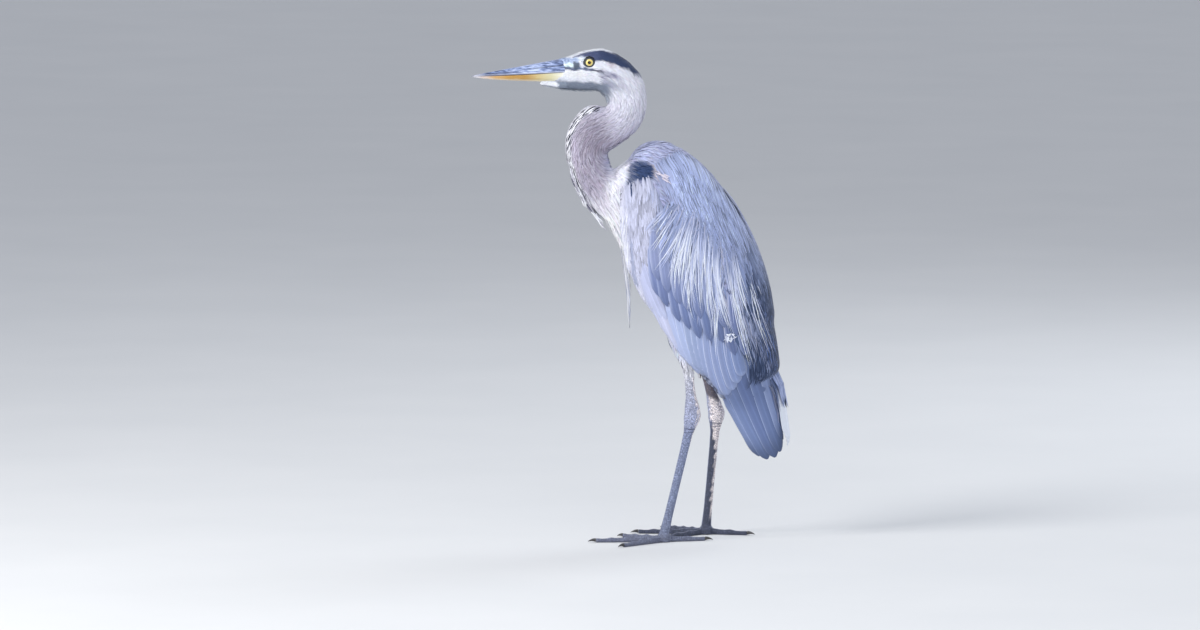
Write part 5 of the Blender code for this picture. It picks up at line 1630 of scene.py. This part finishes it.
# The eyes: a golden iris, paler toward its rim, round a small black pupil under a bulging glossy front,
# set in the skull, with a dark wrinkled lid all round that lies on the skin.
EYE_ROUND = 0.0085
for hand, sign in SIDES:
    centre = Vector((sign * EYE_BACK[0], EYE_BACK[1], EYE_BACK[2]))
    bpy.ops.mesh.primitive_uv_sphere_add(segments=48, ring_count=32, radius=EYE_ROUND, location=centre,
        rotation=(0, math.pi / 2, 0))
    ball = bpy.context.object
    ball.name = "eyeball_" + hand
    bpy.ops.object.transform_apply(location=True, rotation=True, scale=True)
    spots, ways = corners_of(ball)
    from_axis = np.hypot(spots[:, 1] - centre.y, spots[:, 2] - centre.z)
    outer = (spots[:, 0] * sign > EYE_BACK[0])
    spots[:, 0] += sign * outer * 0.0005 * fall(0.003, 0.0062, from_axis)
    move_corners(ball, spots)
    shade_smooth(ball)
    if hand == "left":
        glass = Finish("eye_glass", {"Roughness": 0.1, "Coat Weight": 0.35, "Coat Roughness": 0.02,
                           "Specular IOR Level": 0.35})
        place = glass.axes()
        dy, dz = place.beside(1) - EYE_BACK[1], place.beside(2) - EYE_BACK[2]
        ring = glass.math("SQRT", dy * dy + dz * dz) * 1000
        spokes = glass.noise(1, 4, glass.node("ShaderNodeCombineXYZ", None,
                                 {0: glass.math("ARCTAN2", dz, dy) * 5, 1: ring * 0.5, 2: 0.3}))
        iris = glass.mixed(((ring - 3.0) * 0.33 + (spokes - 0.5) * 0.9).held(), (0.86, 0.62, 0.14, 1),
                           (0.9, 0.84, 0.4, 1))
        iris = glass.mixed((1 - (ring - 2.55) * 2.2).held() * 0.75, iris, (0.42, 0.24, 0.05, 1))
        look = glass.mixed(((ring - 2.5) * 8).held(), (0.006, 0.005, 0.004, 1), iris)
        eye_finish = glass.show(glass.mixed(((ring - 5.6) * 5).held(), look, (0.02, 0.022, 0.02, 1)))
    ball.data.materials.append(eye_finish)
    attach(ball, "root")
    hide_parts("eye_" + hand)

    bpy.ops.mesh.primitive_torus_add(major_segments=72, minor_segments=12, major_radius=1, minor_radius=0.2)
    lid = bpy.context.object
    lid.name = "eyelid_" + hand
    spots, _ = corners_of(lid)
    around = np.arctan2(spots[:, 1], spots[:, 0])
    in_out = (np.hypot(spots[:, 0], spots[:, 1]) - 1) / 0.2
    rise = spots[:, 2] / 0.2
    past_corner = around - math.pi - 0.25
    corner = np.exp(-(np.abs(np.arctan2(np.sin(past_corner), np.cos(past_corner))) / 0.42) ** 2)
    tail_corner = np.exp(-((np.abs(np.arctan2(np.sin(around - 0.1), np.cos(around - 0.1)))) / 0.35) ** 2)
    radius = 0.0069 + 0.0012 * corner + 0.0005 * tail_corner + in_out * (0.00125 + 0.0006 * corner)
    wrinkle = 0.00008 * np.sin(around * 26 + in_out * 2)
    y, z = centre.y + radius * np.cos(around), centre.z + radius * np.sin(around) * 0.97
    ball_x = EYE_BACK[0] + np.sqrt(np.maximum(EYE_ROUND ** 2 - radius ** 2, 0))
    base_x = np.maximum(ball_x, 0.01905 - 0.0002 * (radius - 0.0065) * 1000)
    out = columns_of(sign * (base_x + 0.0004 + rise * (0.00075 + wrinkle * 3)), y, z)
    move_corners(lid, out)
    work = bmesh.new()
    work.from_mesh(lid.data)
    bmesh.ops.recalc_face_normals(work, faces=work.faces)
    work.to_mesh(lid.data)
    work.free()
    lid.location = (0, 0, 0)
    shade_smooth(lid)
    if hand == "left":
        rim = Finish("eyelid_skin", {"Roughness": 0.45})
        creases = rim.noise(2600, 4)
        lid_finish = rim.show(rim.mixed(creases, (0.01, 0.012, 0.018, 1), (0.055, 0.06, 0.075, 1)),
                              creases, 0.0002, 0.6)
    lid.data.materials.append(lid_finish)
    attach(lid, "root")


# The legs: bare blue-grey skin over bone from the thigh feathers to the toes, in small net-like scales
# with a row of broad scutes down the front of the shank and along each toe, and black horn claws.
SCALE_NET = 680.0
leg = Finish("scaly_skin", {"Roughness": 0.55, "Specular IOR Level": 0.4})
paint = leg.stored("Coat")
net = leg.node("ShaderNodeTexVoronoi", {"feature": "DISTANCE_TO_EDGE"},
               {"Vector": leg.place(), "Scale": SCALE_NET}, "Distance")
scale_pick = leg.axes(leg.node("ShaderNodeTexVoronoi", None, {"Vector": leg.place(), "Scale": SCALE_NET},
                          "Color"))
scutes = leg.stored("Scutes").beside(2)
scute_share = leg.stored("ScuteShare").beside(2)
groove = ((abs(leg.math("FRACT", scutes) - 0.5) - 0.38) * 9).held() * scute_share
tone = leg.mixed(((scale_pick - 0.66) * 9).held() * 0.58, paint, (0.085, 0.095, 0.165, 1))
tone = leg.mixed(1, tone, 1 + ((scale_pick.beside(1) - 0.68) * 9).held() * 0.55, "MULTIPLY")
tone = leg.mixed((1 - net * 10).held() * (1 - scute_share) * 0.4, tone, (0.1, 0.11, 0.19, 1))
tone = leg.mixed(groove * 0.75, tone, (0.05, 0.06, 0.1, 1))
leg_finish = leg.show(tone, (net * 6).held() * (1 - scute_share * 0.8) * 0.8 - groove * 1.2
                      + leg.noise(150, 5) * 0.3, 0.0005, 0.7)


def leg_paint(spots, ways, sign):
    """Leg colours: pale lilac above the hock and slate below, cream behind and on the inner side, with
    painted shade: near black on the inner side below the hock and dark lines in the hock's creases, and the
    thigh's dark brown at the inner top, rufous deepened by painted shade.
    """
    height, outer, rear = spots[:, 2], ways[:, 0] * sign, ways[:, 1]
    heights = (0, 0.02, 0.1, 0.172, 0.195, 0.225, 0.245, 0.275)
    ladder = ((0.13, 0.14, 0.19), (0.19, 0.22, 0.32), (0.21, 0.245, 0.37), (0.235, 0.27, 0.41),
              (0.38, 0.41, 0.57), (0.38, 0.4, 0.53), (0.46, 0.47, 0.56), (0.74, 0.74, 0.8))
    tone = read_table(height, heights, ladder)
    turn = 0.8 * rear - 0.6 * outer + 0.15 * ripple(spots, 0.012, 61)
    upper = step(0.17, 0.19, height)
    # painted shade: near black on the inner side below the hock
    inner = step(0.15, 0.75, -outer) * (1 - upper) * 0.95
    begins = np.interp(height, (0.135, 0.182), (0.74, -0.15))
    cream = 0.85 * step(0, 0.28, turn - begins) * step(0.02, 0.04, height)
    # the thigh's dark brown at the inner top: rufous, deepened by painted shade
    thigh_end = 0.9 * step(0.214, 0.224, height + 0.006 * rear) * step(0.1, 0.5, -outer)
    # painted shade: dark lines in the hock's creases
    fold_shade = near_line(rear * 6, height * 1000, ((-9, 181), (9, 178)), 0.7, 0.9)
    fold_shade += near_line(rear * 6, height * 1000, ((-9, 173), (9, 175)), 0.4, 0.8)
    for share, other in ((inner, (0.035, 0.042, 0.065)), (cream, (0.97, 0.87, 0.84)),
                         (thigh_end, (0.1, 0.075, 0.09)), (0.7 * np.clip(fold_shade, 0, 1), (0.05, 0.055, 0.1))):
        tone = tone + (np.array(other) - tone) * share[:, None]
    return tone


claw_horn = Finish("claw_black", {"Roughness": 0.3, "Coat Weight": 0.3})
grain = claw_horn.noise(900, 4)
claw_finish = claw_horn.show(claw_horn.mixed(grain, (0.015, 0.015, 0.018, 1), (0.075, 0.07, 0.07, 1)),
                             grain, 0.0002, 0.4)
TOES = ("middle", "outer", "inner")
for hand, sign in SIDES:
    parts = [part + hand for part in ("shank_", "tarsus_", "foot_pad_", "hallux_")]
    parts += [toe + "_toe_" + hand for toe in TOES]
    limb = merged_copy("leg_skin_" + hand, parts)
    shape_with(limb, "DISPLACE", strength=0.00025, mid_level=0)
    shape_with(limb, "REMESH", mode="VOXEL", voxel_size=0.0009)
    shape_with(limb, "SMOOTH", factor=0.5, iterations=4)
    shape_with(limb, "DISPLACE", strength=-0.0001, mid_level=0)
    spots, ways = corners_of(limb)
    spots[:, 2] = np.maximum(spots[:, 2], 0.0002)
    move_corners(limb, spots)
    paint_corners(limb.data, leg_paint(spots, ways, sign))
    pad = merged_copy("pad", ["foot_pad_" + hand])
    pad_middle = corners_of(pad)[0].mean(0)
    bpy.data.objects.remove(pad)
    from_pad = np.hypot(spots[:, 0] - pad_middle[0], spots[:, 1] - pad_middle[1])
    on_foot = spots[:, 2] < 0.026
    scute_row = np.where(on_foot, from_pad / 0.004, spots[:, 2] / 0.0046)
    facing = np.where(on_foot, step(0.25, 0.6, ways[:, 2]) * step(0.01, 0.014, from_pad),
                      step(0.15, 0.55, -ways[:, 1]) * fall(0.16, 0.168, spots[:, 2]) * step(0.026, 0.034,
                          spots[:, 2]))
    for title, values in (("Scutes", scute_row), ("ScuteShare", facing)):
        layer = limb.data.attributes.new(title, "FLOAT", "POINT")
        layer.data.foreach_set("value", values.astype(np.float32))
    shade_smooth(limb)
    limb.data.materials.append(leg_finish)
    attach(limb, "root")
    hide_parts(*parts)
    claws = smooth_copy("claws_" + hand, [toe + "_claw_" + hand for toe in (*TOES, "hallux")], 1)
    claws.data.materials.append(claw_finish)
    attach(claws, "root")
    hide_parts(*[toe + "_claw_" + hand for toe in (*TOES, "hallux")])


# The thigh fringes: short feathers that hang over the top of each bare leg, white outside and dark inside,
# where the thigh's rufous is deepened by painted shade.
rng = np.random.default_rng(101)
count = 110
for hand, sign in SIDES:
    thigh = merged_copy("thigh_end", ["thigh_" + hand])
    spots = corners_of(thigh)[0]
    bpy.data.objects.remove(thigh)
    ring = spots[spots[:, 2] < spots[:, 2].min() + 0.004]
    middle, radius = ring.mean(0), np.linalg.norm((ring - ring.mean(0))[:, :2], axis=1).max()
    around = rng.uniform(0, 2 * math.pi, count)
    way = columns_of(np.cos(around), np.sin(around), np.zeros(count))
    up = rng.uniform(0.002, 0.014, (count, 1)) * np.array((0, 0, 1))
    roots = middle + way * radius * rng.uniform(0.9, 1.05, (count, 1)) + up
    roots += np.array((0, -0.1, 0)) * up[:, 2:]
    ends = middle + way * radius * rng.uniform(0.55, 0.8, (count, 1))
    ends -= rng.uniform(0.004, 0.014, (count, 1)) * np.array((0, -0.1, 1))
    tones = np.where((way[:, 0] * sign < -0.6)[:, None], np.array((0.16, 0.12, 0.13)),
                     np.array((0.82, 0.82, 0.88)))
    strands("thigh_fringe_" + hand, roots, ends, rng.uniform(0.0008, 0.0015, count), 7,
            np.zeros((count, 3)), plume_paint(tones, 7, 3, 102),
            columns_of(0.25 + 0.5 * (sign < 0) + 0.2 * np.cos(around), 0.5 + 0.2 * np.sin(around)),
            "white_down")
